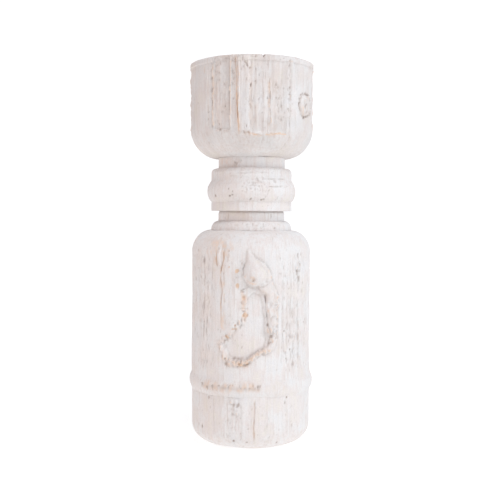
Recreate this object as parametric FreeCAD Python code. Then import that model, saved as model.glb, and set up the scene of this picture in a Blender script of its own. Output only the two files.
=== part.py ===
import FreeCAD
import Part

import math
import os

from FreeCAD import Vector

# Turned wooden candlestick for one pillar candle, modelled as the pieces that it comes apart into.
# Millimetres, +Z up. The origin is on the axis, at the level that the felt pads stand on.
# Wooden sections are stacked on one steel tie rod; a steel candle pan lifts out of the cup.

# ---------------------------------------------------------------- heights of the stack, bottom to top
pad_thickness = 2.0
foot_height = 55.0
body_height = 168.0
shoulder_ring_height = 10.0
neck_height = 66.0
cup_height = 99.0

# ---------------------------------------------------------------- turned outsides
foot_radius = 63.0
foot_edge_round = 19.0

body_radius = 63.2
body_bead_radius = 65.6
body_bead_height = 17.0
body_bead_quirk = 0.6          # flat left under the bead, at the joint with the foot
shoulder_rise = 24.5
shoulder_ledge = 0.5           # flat left round the shoulder ring

shoulder_ring_radius = 42.7
shoulder_ring_round = 4.5

neck_radius = 35.3

collar_radius = 42.8
collar_height = 44.5
collar_lift = 10.4             # bare neck between the shoulder ring and the collar
collar_bead_radius = 47.0
collar_bead_height = 23.0
collar_bead_lift = 9.0         # plain band under the collar's bead
collar_edge_round = 2.5

cup_radius = 65.2
cup_rim_radius = 66.2
cup_rim_height = 7.0           # the slight lip at the top of the cup
cup_rim_round = 2.5
cup_underside_ledge = 1.2      # flat left round the neck
cup_bottom_rise = 32.5

# ---------------------------------------------------------------- candle well and the joints between sections
well_radius = 48.0
well_depth = 22.0
well_edge_round = 2.0

tenon_radius = 20.0
upper_tenon_length = 18.0
lower_tenon_in_body = 25.0
tenon_fit = 0.15               # radial glue line round each tenon and in the collar
tenon_end_gap = 1.0
tenon_chamfer = 1.5

# ---------------------------------------------------------------- M8 tie rod, nuts and washers
rod_radius = 4.0
rod_pitch = 1.25
rod_thread_depth = 0.77
rod_thread_length = 25.0
rod_clearance = 0.5
rod_end_past_nut = 2.5
nut_bore_fit = 0.05
rod_nut_across_flats = 13.0
rod_nut_height = 6.5
rod_washer_radius = 12.0
rod_washer_thickness = 2.0
nut_well_radius = 17.0
upper_nut_well_depth = 24.0
lower_nut_well_depth = 20.0

plug_thickness = 6.0
plug_fit = 0.15
plug_chamfer = 0.8

# ---------------------------------------------------------------- dowels between body and foot
dowel_count = 3
dowel_radius = 5.0
dowel_length = 36.0
dowel_fit = 0.05
dowel_end_gap = 1.0
dowel_chamfer = 1.0
dowel_flute_count = 10
dowel_flute_radius = 0.5

# ---------------------------------------------------------------- felt pads
pad_count = 4
pad_radius = 10.0
pad_edge_round = 0.5

# ---------------------------------------------------------------- candle pan, its pricket and fixings
pan_side_gap = 1.2             # between the pan's rolled edge and the wall of the well
pan_seat_gap = 0.3             # between the pan's floor and the floor of the well
pan_sheet = 1.0
pan_wall_height = 14.0
pan_corner_round = 3.0
pan_roll_radius = 1.2
pan_boss_radius = 9.0
pan_boss_rise = 1.5

pricket_flange_radius = 6.0
pricket_flange_thickness = 1.5
pricket_foot_radius = 2.6
pricket_point_length = 15.0
pricket_tip_radius = 0.6
pricket_tip_blunt = 0.3        # small chamfer round the blunted tip
stud_radius = 2.5
stud_pitch = 0.8
stud_thread_depth = 0.49
stud_clearance = 0.2
stud_past_nut = 1.2
stud_nut_across_flats = 8.0
stud_nut_height = 4.0
stud_washer_radius = 5.0
stud_washer_thickness = 1.0

# ---------------------------------------------------------------- levels worked out from the stack
foot_bottom = pad_thickness
body_bottom = foot_bottom + foot_height
body_top = body_bottom + body_height
ring_top = body_top + shoulder_ring_height
neck_top = ring_top + neck_height
cup_top = neck_top + cup_height
well_floor = cup_top - well_depth
upper_nut_seat = well_floor - upper_nut_well_depth
lower_nut_seat = foot_bottom + lower_nut_well_depth
rod_hole_radius = rod_radius + rod_clearance
foot_flat_radius = foot_radius - foot_edge_round
dowel_circle_radius = (nut_well_radius + foot_radius) / 2
pad_circle_radius = (nut_well_radius + foot_flat_radius) / 2
pan_underside = well_floor + pan_seat_gap
boss_underside = pan_underside + pan_boss_rise

FULL_TURN = 360.0
AXIS_FOOT = Vector(0, 0, 0)
UP = Vector(0, 0, 1)
ROUND_WEIGHT = math.sqrt(0.5)  # middle weight of a rational curve that is exactly a quarter of an ellipse


class Outline:
    """Half of a turned section, drawn edge by edge as (radius, height), then spun about the axis."""

    def __init__(self, radius, height):
        self.first = Vector(radius, 0, height)
        self.pen = self.first
        self.edges = []

    def to(self, radius, height):
        """A straight edge to the given point."""
        end = Vector(radius, 0, height)
        if not self.pen.isEqual(end, 1e-7):
            self.edges.append(Part.LineSegment(self.pen, end).toShape())
            self.pen = end
        return self

    def quarter(self, corner, end):
        """A quarter of an ellipse that leaves towards the corner and arrives from it."""
        curve = Part.BezierCurve()
        curve.setPoles([self.pen, Vector(corner[0], 0, corner[1]), Vector(end[0], 0, end[1])])
        curve.setWeight(2, ROUND_WEIGHT)
        self.edges.append(curve.toShape())
        self.pen = Vector(end[0], 0, end[1])
        return self

    def bulge(self, crest, end):
        """A round bead: a circle's arc through its crest."""
        last = Vector(end[0], 0, end[1])
        self.edges.append(Part.Arc(self.pen, Vector(crest[0], 0, crest[1]), last).toShape())
        self.pen = last
        return self

    def thread(self, major, pitch, depth, start, length, rising):
        """Ridges of a screw thread as rings, up or down a shank of the major radius."""
        step = pitch if rising else -pitch
        for turn in range(int(length / pitch)):
            base = start + turn * step
            self.to(major, base)
            self.to(major - depth, base + step / 2)
            self.to(major, base + step)
        return self

    def spun(self):
        """Closes the outline and turns it through a full circle."""
        self.to(self.first.x, self.first.z)
        face = Part.Face(Part.Wire(self.edges))
        solid = face.revolve(AXIS_FOOT, UP, FULL_TURN)
        if solid.ShapeType != "Solid":
            solid = Part.Solid(Part.Shell(solid.Faces))
        if solid.Volume < 0:
            solid.reverse()
        return solid


def around(count, circle_radius, start_angle=0.0):
    """Centres of pieces spaced evenly round the axis."""
    for number in range(count):
        angle = math.radians(start_angle + FULL_TURN * number / count)
        yield number + 1, Vector(circle_radius * math.cos(angle), circle_radius * math.sin(angle), 0)


def dowel_places():
    """Where the dowels between body and foot stand."""
    return around(dowel_count, dowel_circle_radius, 90.0)


def dowel_holes(lower_end):
    """Round holes for the dowels, one dowel half and an end gap deep, from their lower end up."""
    depth = dowel_length / 2 + dowel_end_gap
    holes = [Part.makeCylinder(dowel_radius + dowel_fit, depth, place + Vector(0, 0, lower_end))
             for _, place in dowel_places()]
    return holes[0].fuse(holes[1:])


# ---------------------------------------------------------------- turned wooden sections
def foot():
    """Bottom section: rounded lower edge, nut well below, rod hole through, dowel holes above."""
    bottom, top = foot_bottom, body_bottom
    outline = Outline(nut_well_radius, bottom)
    outline.to(foot_flat_radius, bottom)
    outline.quarter((foot_radius, bottom), (foot_radius, bottom + foot_edge_round))
    outline.to(foot_radius, top)
    outline.to(rod_hole_radius, top)
    outline.to(rod_hole_radius, lower_nut_seat)
    outline.to(nut_well_radius, lower_nut_seat)
    return outline.spun().cut(dowel_holes(top - dowel_length / 2 - dowel_end_gap))


def body():
    """Main section: bead at the foot joint, plain trunk, round shoulder, mortise for the neck."""
    bottom, top = body_bottom, body_top
    bead_start = bottom + body_bead_quirk
    bead_end = bead_start + body_bead_height
    shoulder_radius = shoulder_ring_radius + shoulder_ledge
    mortise_radius = tenon_radius + tenon_fit
    mortise_floor = top - lower_tenon_in_body - tenon_end_gap
    outline = Outline(rod_hole_radius, bottom)
    outline.to(body_radius, bottom)
    outline.to(body_radius, bead_start)
    outline.bulge((body_bead_radius, (bead_start + bead_end) / 2), (body_radius, bead_end))
    outline.to(body_radius, top - shoulder_rise)
    outline.quarter((body_radius, top), (shoulder_radius, top))
    outline.to(mortise_radius, top)
    outline.to(mortise_radius, mortise_floor)
    outline.to(rod_hole_radius, mortise_floor)
    return outline.spun().cut(dowel_holes(bottom))


def shoulder_ring():
    """Stepped ring between the body's shoulder and the neck, threaded over the neck's tenon."""
    hole = tenon_radius + tenon_fit
    outline = Outline(hole, body_top)
    outline.to(shoulder_ring_radius, body_top)
    outline.to(shoulder_ring_radius, ring_top - shoulder_ring_round)
    outline.quarter((shoulder_ring_radius, ring_top),
                    (shoulder_ring_radius - shoulder_ring_round, ring_top))
    outline.to(hole, ring_top)
    return outline.spun()


def neck_spindle():
    """Plain neck with a tenon at each end, bored through for the tie rod."""
    lower_end = body_top - lower_tenon_in_body
    upper_end = neck_top + upper_tenon_length
    outline = Outline(rod_hole_radius, lower_end)
    outline.to(tenon_radius - tenon_chamfer, lower_end)
    outline.to(tenon_radius, lower_end + tenon_chamfer)
    outline.to(tenon_radius, ring_top)
    outline.to(neck_radius, ring_top)
    outline.to(neck_radius, neck_top)
    outline.to(tenon_radius, neck_top)
    outline.to(tenon_radius, upper_end - tenon_chamfer)
    outline.to(tenon_radius - tenon_chamfer, upper_end)
    outline.to(rod_hole_radius, upper_end)
    return outline.spun()


def collar():
    """Beaded collar that slides over the neck and is glued to it."""
    hole = neck_radius + tenon_fit
    bottom = ring_top + collar_lift
    top = bottom + collar_height
    bead_start = bottom + collar_bead_lift
    bead_end = bead_start + collar_bead_height
    outline = Outline(hole, bottom)
    outline.to(collar_radius, bottom)
    outline.to(collar_radius, bead_start)
    outline.bulge((collar_bead_radius, (bead_start + bead_end) / 2), (collar_radius, bead_end))
    outline.to(collar_radius, top - collar_edge_round)
    outline.quarter((collar_radius, top), (collar_radius - collar_edge_round, top))
    outline.to(hole, top)
    return outline.spun()


def cup():
    """Top section: round underside, slight lip, candle well, nut well and mortise for the neck."""
    bottom, top = neck_top, cup_top
    lip_start = top - cup_rim_height
    mortise_radius = tenon_radius + tenon_fit
    mortise_ceiling = bottom + upper_tenon_length + tenon_end_gap
    outline = Outline(mortise_radius, bottom)
    outline.to(neck_radius + cup_underside_ledge, bottom)
    outline.quarter((cup_radius, bottom), (cup_radius, bottom + cup_bottom_rise))
    outline.to(cup_radius, lip_start)
    outline.to(cup_rim_radius, lip_start + (cup_rim_radius - cup_radius))
    outline.to(cup_rim_radius, top - cup_rim_round)
    outline.quarter((cup_rim_radius, top), (cup_rim_radius - cup_rim_round, top))
    outline.to(well_radius + well_edge_round, top)
    outline.quarter((well_radius, top), (well_radius, top - well_edge_round))
    outline.to(well_radius, well_floor)
    outline.to(nut_well_radius, well_floor)
    outline.to(nut_well_radius, upper_nut_seat)
    outline.to(rod_hole_radius, upper_nut_seat)
    outline.to(rod_hole_radius, mortise_ceiling)
    outline.to(mortise_radius, mortise_ceiling)
    return outline.spun()


def base_plug():
    """Turned wooden disc that closes the nut well, flush with the foot's underside."""
    radius = nut_well_radius - plug_fit
    top = foot_bottom + plug_thickness
    outline = Outline(0, foot_bottom)
    outline.to(radius, foot_bottom)
    outline.to(radius, top - plug_chamfer)
    outline.to(radius - plug_chamfer, top)
    outline.to(0, top)
    return outline.spun()


def dowel(place):
    """Fluted beech dowel standing half in the foot and half in the body."""
    bottom = body_bottom - dowel_length / 2
    top = bottom + dowel_length
    outline = Outline(0, bottom)
    outline.to(dowel_radius - dowel_chamfer, bottom)
    outline.to(dowel_radius, bottom + dowel_chamfer)
    outline.to(dowel_radius, top - dowel_chamfer)
    outline.to(dowel_radius - dowel_chamfer, top)
    outline.to(0, top)
    flutes = [Part.makeCylinder(dowel_flute_radius, dowel_length, spot + Vector(0, 0, bottom))
              for _, spot in around(dowel_flute_count, dowel_radius)]
    pin = outline.spun().cut(flutes[0].fuse(flutes[1:]))
    pin.translate(place)
    return pin


# ---------------------------------------------------------------- steel hardware
def washer(hole_radius, outer_radius, bottom, thickness):
    """Flat round washer."""
    outline = Outline(hole_radius, bottom)
    outline.to(outer_radius, bottom)
    outline.to(outer_radius, bottom + thickness)
    outline.to(hole_radius, bottom + thickness)
    return outline.spun()


def nut(hole_radius, across_flats, bottom, height):
    """Hexagon nut with its corners chamfered on both faces."""
    corner_radius = across_flats / math.sqrt(3)
    chamfer = corner_radius - across_flats / 2
    rise = chamfer * math.tan(math.radians(30))
    corners = [spot + Vector(0, 0, bottom) for _, spot in around(6, corner_radius)]
    prism = Part.Face(Part.makePolygon(corners + corners[:1])).extrude(Vector(0, 0, height))
    envelope = Outline(hole_radius, bottom)
    envelope.to(across_flats / 2, bottom)
    envelope.to(corner_radius, bottom + rise)
    envelope.to(corner_radius, bottom + height - rise)
    envelope.to(across_flats / 2, bottom + height)
    envelope.to(hole_radius, bottom + height)
    return prism.common(envelope.spun())


def tie_rod():
    """Steel rod that clamps the sections together, threaded at both ends."""
    lower_nut_bottom = lower_nut_seat - rod_washer_thickness - rod_nut_height
    upper_nut_top = upper_nut_seat + rod_washer_thickness + rod_nut_height
    bottom = lower_nut_bottom - rod_end_past_nut
    top = upper_nut_top + rod_end_past_nut
    outline = Outline(0, bottom)
    outline.to(rod_radius - rod_thread_depth, bottom)
    outline.to(rod_radius, bottom + rod_thread_depth)
    outline.thread(rod_radius, rod_pitch, rod_thread_depth, bottom + rod_thread_depth,
                   rod_thread_length, rising=True)
    ridges = int(rod_thread_length / rod_pitch) * rod_pitch
    outline.to(rod_radius, top - rod_thread_depth - ridges)
    outline.thread(rod_radius, rod_pitch, rod_thread_depth, top - rod_thread_depth - ridges,
                   rod_thread_length, rising=True)
    outline.to(rod_radius - rod_thread_depth, top)
    outline.to(0, top)
    return outline.spun()


def rod_fixings():
    """Nut and washer at each end of the tie rod, by node name."""
    bore = rod_radius + nut_bore_fit
    hole = rod_hole_radius
    upper_nut_bottom = upper_nut_seat + rod_washer_thickness
    lower_washer_bottom = lower_nut_seat - rod_washer_thickness
    return {
        "upper_washer": washer(hole, rod_washer_radius, upper_nut_seat, rod_washer_thickness),
        "upper_nut": nut(bore, rod_nut_across_flats, upper_nut_bottom, rod_nut_height),
        "lower_washer": washer(hole, rod_washer_radius, lower_washer_bottom, rod_washer_thickness),
        "lower_nut": nut(bore, rod_nut_across_flats, lower_washer_bottom - rod_nut_height,
                         rod_nut_height),
    }


def candle_pan():
    """Pressed steel pan: raised boss in the middle, round corner, wall and rolled edge."""
    outer = well_radius - pan_side_gap
    wall_outer = outer - pan_roll_radius
    wall_inner = wall_outer - pan_sheet
    floor_low, floor_high = pan_underside, pan_underside + pan_sheet
    roll_centre = pan_underside + pan_wall_height
    inner_round = pan_corner_round
    outer_round = inner_round + pan_sheet
    hole = stud_radius + stud_clearance
    boss_foot = pan_boss_radius + pan_boss_rise
    outline = Outline(hole, boss_underside)
    outline.to(pan_boss_radius - pan_sheet, boss_underside)
    outline.to(boss_foot - pan_sheet, floor_low)
    outline.to(wall_outer - outer_round, floor_low)
    outline.quarter((wall_outer, floor_low), (wall_outer, floor_low + outer_round))
    outline.to(wall_outer, roll_centre)
    outline.bulge((outer, roll_centre + pan_roll_radius),
                  (wall_outer, roll_centre + 2 * pan_roll_radius))
    outline.to(wall_inner, roll_centre + 2 * pan_roll_radius)
    outline.to(wall_inner, floor_high + inner_round)
    outline.quarter((wall_inner, floor_high), (wall_inner - inner_round, floor_high))
    outline.to(boss_foot, floor_high)
    outline.to(pan_boss_radius, boss_underside + pan_sheet)
    outline.to(hole, boss_underside + pan_sheet)
    return outline.spun()


def pricket():
    """Steel spike that holds the candle: flange on the pan's boss, tapered point, threaded stud."""
    flange_bottom = boss_underside + pan_sheet
    flange_top = flange_bottom + pricket_flange_thickness
    tip = flange_top + pricket_point_length
    stud_end = boss_underside - stud_washer_thickness - stud_nut_height - stud_past_nut
    outline = Outline(0, stud_end)
    outline.to(stud_radius - stud_thread_depth, stud_end)
    outline.to(stud_radius, stud_end + stud_thread_depth)
    threaded = boss_underside - stud_end - stud_thread_depth
    outline.thread(stud_radius, stud_pitch, stud_thread_depth, stud_end + stud_thread_depth,
                   threaded, rising=True)
    outline.to(stud_radius, flange_bottom)
    outline.to(pricket_flange_radius, flange_bottom)
    outline.to(pricket_flange_radius, flange_top)
    outline.to(pricket_foot_radius, flange_top)
    outline.to(pricket_tip_radius, tip - pricket_tip_blunt)
    outline.to(pricket_tip_radius - pricket_tip_blunt, tip)
    outline.to(0, tip)
    return outline.spun()


def pricket_fixings():
    """Washer and nut under the pan, by node name."""
    washer_bottom = boss_underside - stud_washer_thickness
    return {
        "pricket_washer": washer(stud_radius + stud_clearance, stud_washer_radius,
                                 washer_bottom, stud_washer_thickness),
        "pricket_nut": nut(stud_radius + nut_bore_fit, stud_nut_across_flats,
                           washer_bottom - stud_nut_height, stud_nut_height),
    }


def felt_pad(place):
    """Round felt pad glued under the foot."""
    outline = Outline(0, 0)
    outline.to(pad_radius - pad_edge_round, 0)
    outline.quarter((pad_radius, 0), (pad_radius, pad_edge_round))
    outline.to(pad_radius, pad_thickness)
    outline.to(0, pad_thickness)
    pad = outline.spun()
    pad.translate(place)
    return pad


def nodes():
    """Every piece of the candlestick, by node name."""
    pieces = {
        "foot": foot(),
        "body": body(),
        "shoulder_ring": shoulder_ring(),
        "neck_spindle": neck_spindle(),
        "collar": collar(),
        "cup": cup(),
        "base_plug": base_plug(),
        "tie_rod": tie_rod(),
        "candle_pan": candle_pan(),
        "pricket": pricket(),
    }
    pieces.update(rod_fixings())
    pieces.update(pricket_fixings())
    for number, place in dowel_places():
        pieces[f"dowel_{number}"] = dowel(place)
    for number, place in around(pad_count, pad_circle_radius, 45.0):
        pieces[f"felt_pad_{number}"] = felt_pad(place)
    return pieces


os.makedirs("parts", exist_ok=True)
for name, shape in nodes().items():
    valid = shape.isValid() and len(shape.Solids) == 1
    print(f"{name:16s} volume {shape.Volume / 1000:9.2f} cm3  {'ok' if valid else 'NOT VALID'}")
    shape.exportStep(f"parts/{name}.step")
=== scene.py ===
"""The looks of a turned, whitewashed candlestick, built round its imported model.

Sizes are in millimetres and angles in degrees until a mesh is written, which is in metres. A place on a
turned piece is (turn, height): degrees round the axis from the front, positive to the right as seen from
the front, and millimetres above the plane that the candlestick stands on.
"""
import sys
import logging
import math
from dataclasses import dataclass, field
from enum import Enum
from typing import Protocol

import bpy
import numpy as np
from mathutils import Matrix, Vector


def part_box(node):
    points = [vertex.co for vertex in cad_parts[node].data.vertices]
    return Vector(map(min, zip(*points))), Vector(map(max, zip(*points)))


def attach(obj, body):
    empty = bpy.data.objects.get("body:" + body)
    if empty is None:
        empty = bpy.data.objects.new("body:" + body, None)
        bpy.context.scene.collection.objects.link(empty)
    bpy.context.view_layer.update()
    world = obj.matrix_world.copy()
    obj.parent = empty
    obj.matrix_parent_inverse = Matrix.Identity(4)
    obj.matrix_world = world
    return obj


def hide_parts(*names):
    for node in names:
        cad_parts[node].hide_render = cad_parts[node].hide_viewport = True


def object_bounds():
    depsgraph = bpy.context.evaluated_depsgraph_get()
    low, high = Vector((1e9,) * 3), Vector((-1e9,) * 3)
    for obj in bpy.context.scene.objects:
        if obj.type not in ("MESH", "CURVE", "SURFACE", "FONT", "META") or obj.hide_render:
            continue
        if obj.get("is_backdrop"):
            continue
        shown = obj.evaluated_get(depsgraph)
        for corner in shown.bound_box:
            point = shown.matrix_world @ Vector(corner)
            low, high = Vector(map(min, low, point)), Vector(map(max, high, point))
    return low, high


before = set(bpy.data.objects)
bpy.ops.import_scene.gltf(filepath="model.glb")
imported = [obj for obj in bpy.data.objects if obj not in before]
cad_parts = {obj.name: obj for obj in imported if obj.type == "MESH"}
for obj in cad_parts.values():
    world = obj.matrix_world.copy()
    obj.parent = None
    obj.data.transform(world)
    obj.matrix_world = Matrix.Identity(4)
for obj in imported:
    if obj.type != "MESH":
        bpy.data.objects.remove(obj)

MM = 0.001
FULL_TURN = 360.0
MERGE_MM = 0.01                # points nearer than this are one point
TINY = 1e-9                    # keeps a division by a length of nothing from failing
MAP_NAME = "OFBake"            # one clean map of each turned piece: round the axis, and along its outline

Place = tuple[float, float]
Path = tuple[Place, ...]
Grain = tuple[float, float]    # mm from one hill of a noise to the next: round the piece, and along it
Grid = np.ndarray
Tree = bpy.types.NodeTree
Piece = bpy.types.Object

log = logging.getLogger("candlestick")


# ------------------------------------------------------------------------------------------ small helpers
class Slot(Enum):
    """The record's material slots."""

    WHITEWASH = "whitewashed_wood"
    BARE_WOOD = "bare_wood"
    ZINC = "zinc_plated_steel"
    PAN_STEEL = "pan_steel"
    FELT = "felt"


def linear(code: str) -> tuple[float, float, float, float]:
    """Turns an sRGB hex colour to the linear colour that a shader takes.

    Args:
        code: the colour as "#RRGGBB".

    Returns:
        Red, green, blue and an alpha of one.
    """
    channels = [int(code[at:at + 2], 16) / 255 for at in (1, 3, 5)]
    red, green, blue = [c / 12.92 if c <= 0.04045 else ((c + 0.055) / 1.055) ** 2.4 for c in channels]
    return red, green, blue, 1.0


def smooth(share: Grid) -> Grid:
    """A soft step: 0 below 0, 1 above 1, level at both ends."""
    held = np.clip(share, 0.0, 1.0)
    return held * held * (3.0 - 2.0 * held)


def add_node(tree: Tree, kind: str, settings: dict | None = None,
             inputs: dict | None = None) -> bpy.types.Node:
    """Adds a shader node.

    Args:
        tree: the material's node tree.
        kind: the node's type, without "ShaderNode".
        settings: the node's own properties.
        inputs: a value, or another node's output to link, for each input by name or number.

    Returns:
        The new node.
    """
    node = tree.nodes.new("ShaderNode" + kind)
    for name, value in (settings or {}).items():
        setattr(node, name, value)
    for name, value in (inputs or {}).items():
        if isinstance(value, bpy.types.NodeSocket):
            tree.links.new(value, node.inputs[name])
        else:
            node.inputs[name].default_value = value
    return node


def empty_material(name: str) -> tuple[bpy.types.Material, Tree]:
    """Starts a material.

    Args:
        name: the material's name.

    Returns:
        The material and its node tree, which is empty.
    """
    material = bpy.data.materials.new(name)
    material.use_nodes = True
    material.node_tree.nodes.clear()
    return material, material.node_tree


def span(node: str) -> tuple[float, float, float]:
    """Largest radius, lowest height and highest height of a CAD node, in mm."""
    low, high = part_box(node)
    return high[0] / MM, low[2] / MM, high[2] / MM


# ------------------------------------------------------------------------------------------ turned outlines
@dataclass
class Outline:
    """Half of a turned section: a closed run of points, outwards below, up the side and back inside.

    Carved stretches are the ones that show. They get a point every pitch, and take relief.
    """

    start: Place
    pitch: float
    points: list[Place] = field(default_factory=list)
    carved: list[bool] = field(default_factory=list)

    def __post_init__(self) -> None:
        """Puts down the first point."""
        self.points.append(self.start)
        self.carved.append(False)

    def add(self, point: Place, carved: bool) -> None:
        """Puts down one point."""
        self.points.append(point)
        self.carved.append(carved)

    def steps(self, length: float, carved: bool) -> int:
        """How many points a stretch of this length takes."""
        return max(1, math.ceil(length / self.pitch)) if carved else 1

    def to(self, radius: float, height: float, carved: bool = False) -> "Outline":
        """Draws a straight stretch to the given point.

        Args:
            radius: the end's distance from the axis, in mm.
            height: the end's height, in mm.
            carved: whether the stretch shows.

        Returns:
            The outline itself.
        """
        first = self.points[-1]
        count = self.steps(math.dist(first, (radius, height)), carved)
        for step in range(1, count + 1):
            share = step / count
            self.add((first[0] + (radius - first[0]) * share, first[1] + (height - first[1]) * share), carved)
        return self

    def quarter(self, corner: Place, end: Place) -> "Outline":
        """Draws a quarter of an ellipse that leaves towards the corner and arrives from it.

        Args:
            corner: where the straight sides round the quarter would meet.
            end: where the quarter ends.

        Returns:
            The outline itself.
        """
        first = self.points[-1]
        centre = (first[0] + end[0] - corner[0], first[1] + end[1] - corner[1])
        length = math.pi / 4 * (math.dist(first, centre) + math.dist(end, centre))
        count = max(3, self.steps(length, True))
        for step in range(1, count + 1):
            angle = math.pi / 2 * step / count
            near, far = math.cos(angle), math.sin(angle)
            self.add((centre[0] + (first[0] - centre[0]) * near + (end[0] - centre[0]) * far,
                      centre[1] + (first[1] - centre[1]) * near + (end[1] - centre[1]) * far), True)
        return self

    def bulge(self, rise: float, length: float) -> "Outline":
        """Draws a round bead up the side: an arc that stands out by rise over the given length.

        Args:
            rise: how far the bead stands out, in mm.
            length: how tall it is, in mm.

        Returns:
            The outline itself.
        """
        radius, low = self.points[-1]
        round_radius = (length * length / 4 + rise * rise) / (2 * rise)
        half = math.asin(length / 2 / round_radius)
        count = self.steps(2 * half * round_radius, True)
        for step in range(1, count + 1):
            angle = half * (2 * step / count - 1)
            self.add((radius + rise + round_radius * (math.cos(angle) - 1),
                      low + length / 2 + round_radius * math.sin(angle)), True)
        return self

    def runs(self) -> Grid:
        """Length of the outline up to each point, and back to the first one, in mm."""
        loop = np.array(self.points + self.points[:1])
        return np.concatenate([[0.0], np.cumsum(np.hypot(*np.diff(loop, axis=0).T))])

    def outward(self) -> Grid:
        """The direction, as (radius, height), in which each point moves when its relief lifts it.

        Returns:
            One direction of length one for each point.
        """
        loop = np.array(self.points)
        along = np.roll(loop, -1, axis=0) - np.roll(loop, 1, axis=0)
        facing = np.stack([along[:, 1], -along[:, 0]], axis=1)
        return facing / np.maximum(np.hypot(*facing.T), TINY)[:, None]

    def hidden(self, reach: float) -> Grid:
        """Which points lie further than reach from anything that shows, in mm along the outline.

        Args:
            reach: how far from what shows a point counts as hidden, in mm.

        Returns:
            True for each point that lies that far off.
        """
        runs = self.runs()
        shown = runs[:-1][np.array(self.carved)]
        apart = np.abs(runs[:-1, None] - shown[None, :])
        return np.minimum(apart, runs[-1] - apart).min(axis=1) > reach

    def weights(self, fade: float) -> Grid:
        """How much relief each point takes: none where nothing is carved, and less near a joint.

        Args:
            fade: the length from a joint over which relief grows to its full size, in mm.

        Returns:
            A share from 0 to 1 for each point.
        """
        runs = self.runs()[:-1]
        plain = runs[~np.array(self.carved)]
        edges = np.concatenate([plain, [self.runs()[-1]]])
        nearest = np.abs(runs[:, None] - edges[None, :]).min(axis=1)
        return smooth(nearest / fade)


def spun(name: str, outline: Outline, steps: int) -> Piece:
    """Draws an outline edge by edge and turns it round the axis.

    Args:
        name: the new object's name.
        outline: the half section to spin.
        steps: how many steps the spin takes round the axis.

    Returns:
        The closed solid, whose points carry the number of their outline point as the attribute "ring".
    """
    radius, height = outline.start
    bpy.ops.object.select_all(action="DESELECT")
    bpy.ops.mesh.primitive_plane_add(size=MM, location=(radius * MM, 0, height * MM))
    bpy.ops.object.transform_apply(location=True, rotation=True, scale=True)
    piece = bpy.context.active_object
    piece.name = piece.data.name = name
    bpy.ops.object.mode_set(mode="EDIT")
    bpy.ops.mesh.select_all(action="SELECT")
    bpy.ops.mesh.merge(type="CENTER")
    loop = outline.points + outline.points[:1]
    for before, after in zip(loop, loop[1:]):
        move = ((after[0] - before[0]) * MM, 0, (after[1] - before[1]) * MM)
        bpy.ops.mesh.extrude_region_move(TRANSFORM_OT_translate={"value": move})
    bpy.ops.object.mode_set(mode="OBJECT")
    numbers = piece.data.attributes.new("ring", "INT", "POINT")
    numbers.data.foreach_set("value", list(range(len(outline.points))) + [0])
    bpy.ops.object.modifier_add(type="SCREW")
    screw = piece.modifiers[-1]
    screw.axis = "Z"
    screw.angle = math.tau
    screw.steps = screw.render_steps = steps
    screw.use_merge_vertices = True
    screw.merge_threshold = MERGE_MM * MM
    bpy.ops.object.modifier_apply(modifier=screw.name)
    bpy.ops.object.mode_set(mode="EDIT")
    bpy.ops.mesh.select_all(action="SELECT")
    bpy.ops.mesh.remove_doubles(threshold=MERGE_MM * MM)
    bpy.ops.mesh.normals_make_consistent(inside=False)
    bpy.ops.object.mode_set(mode="OBJECT")
    return piece


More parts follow.
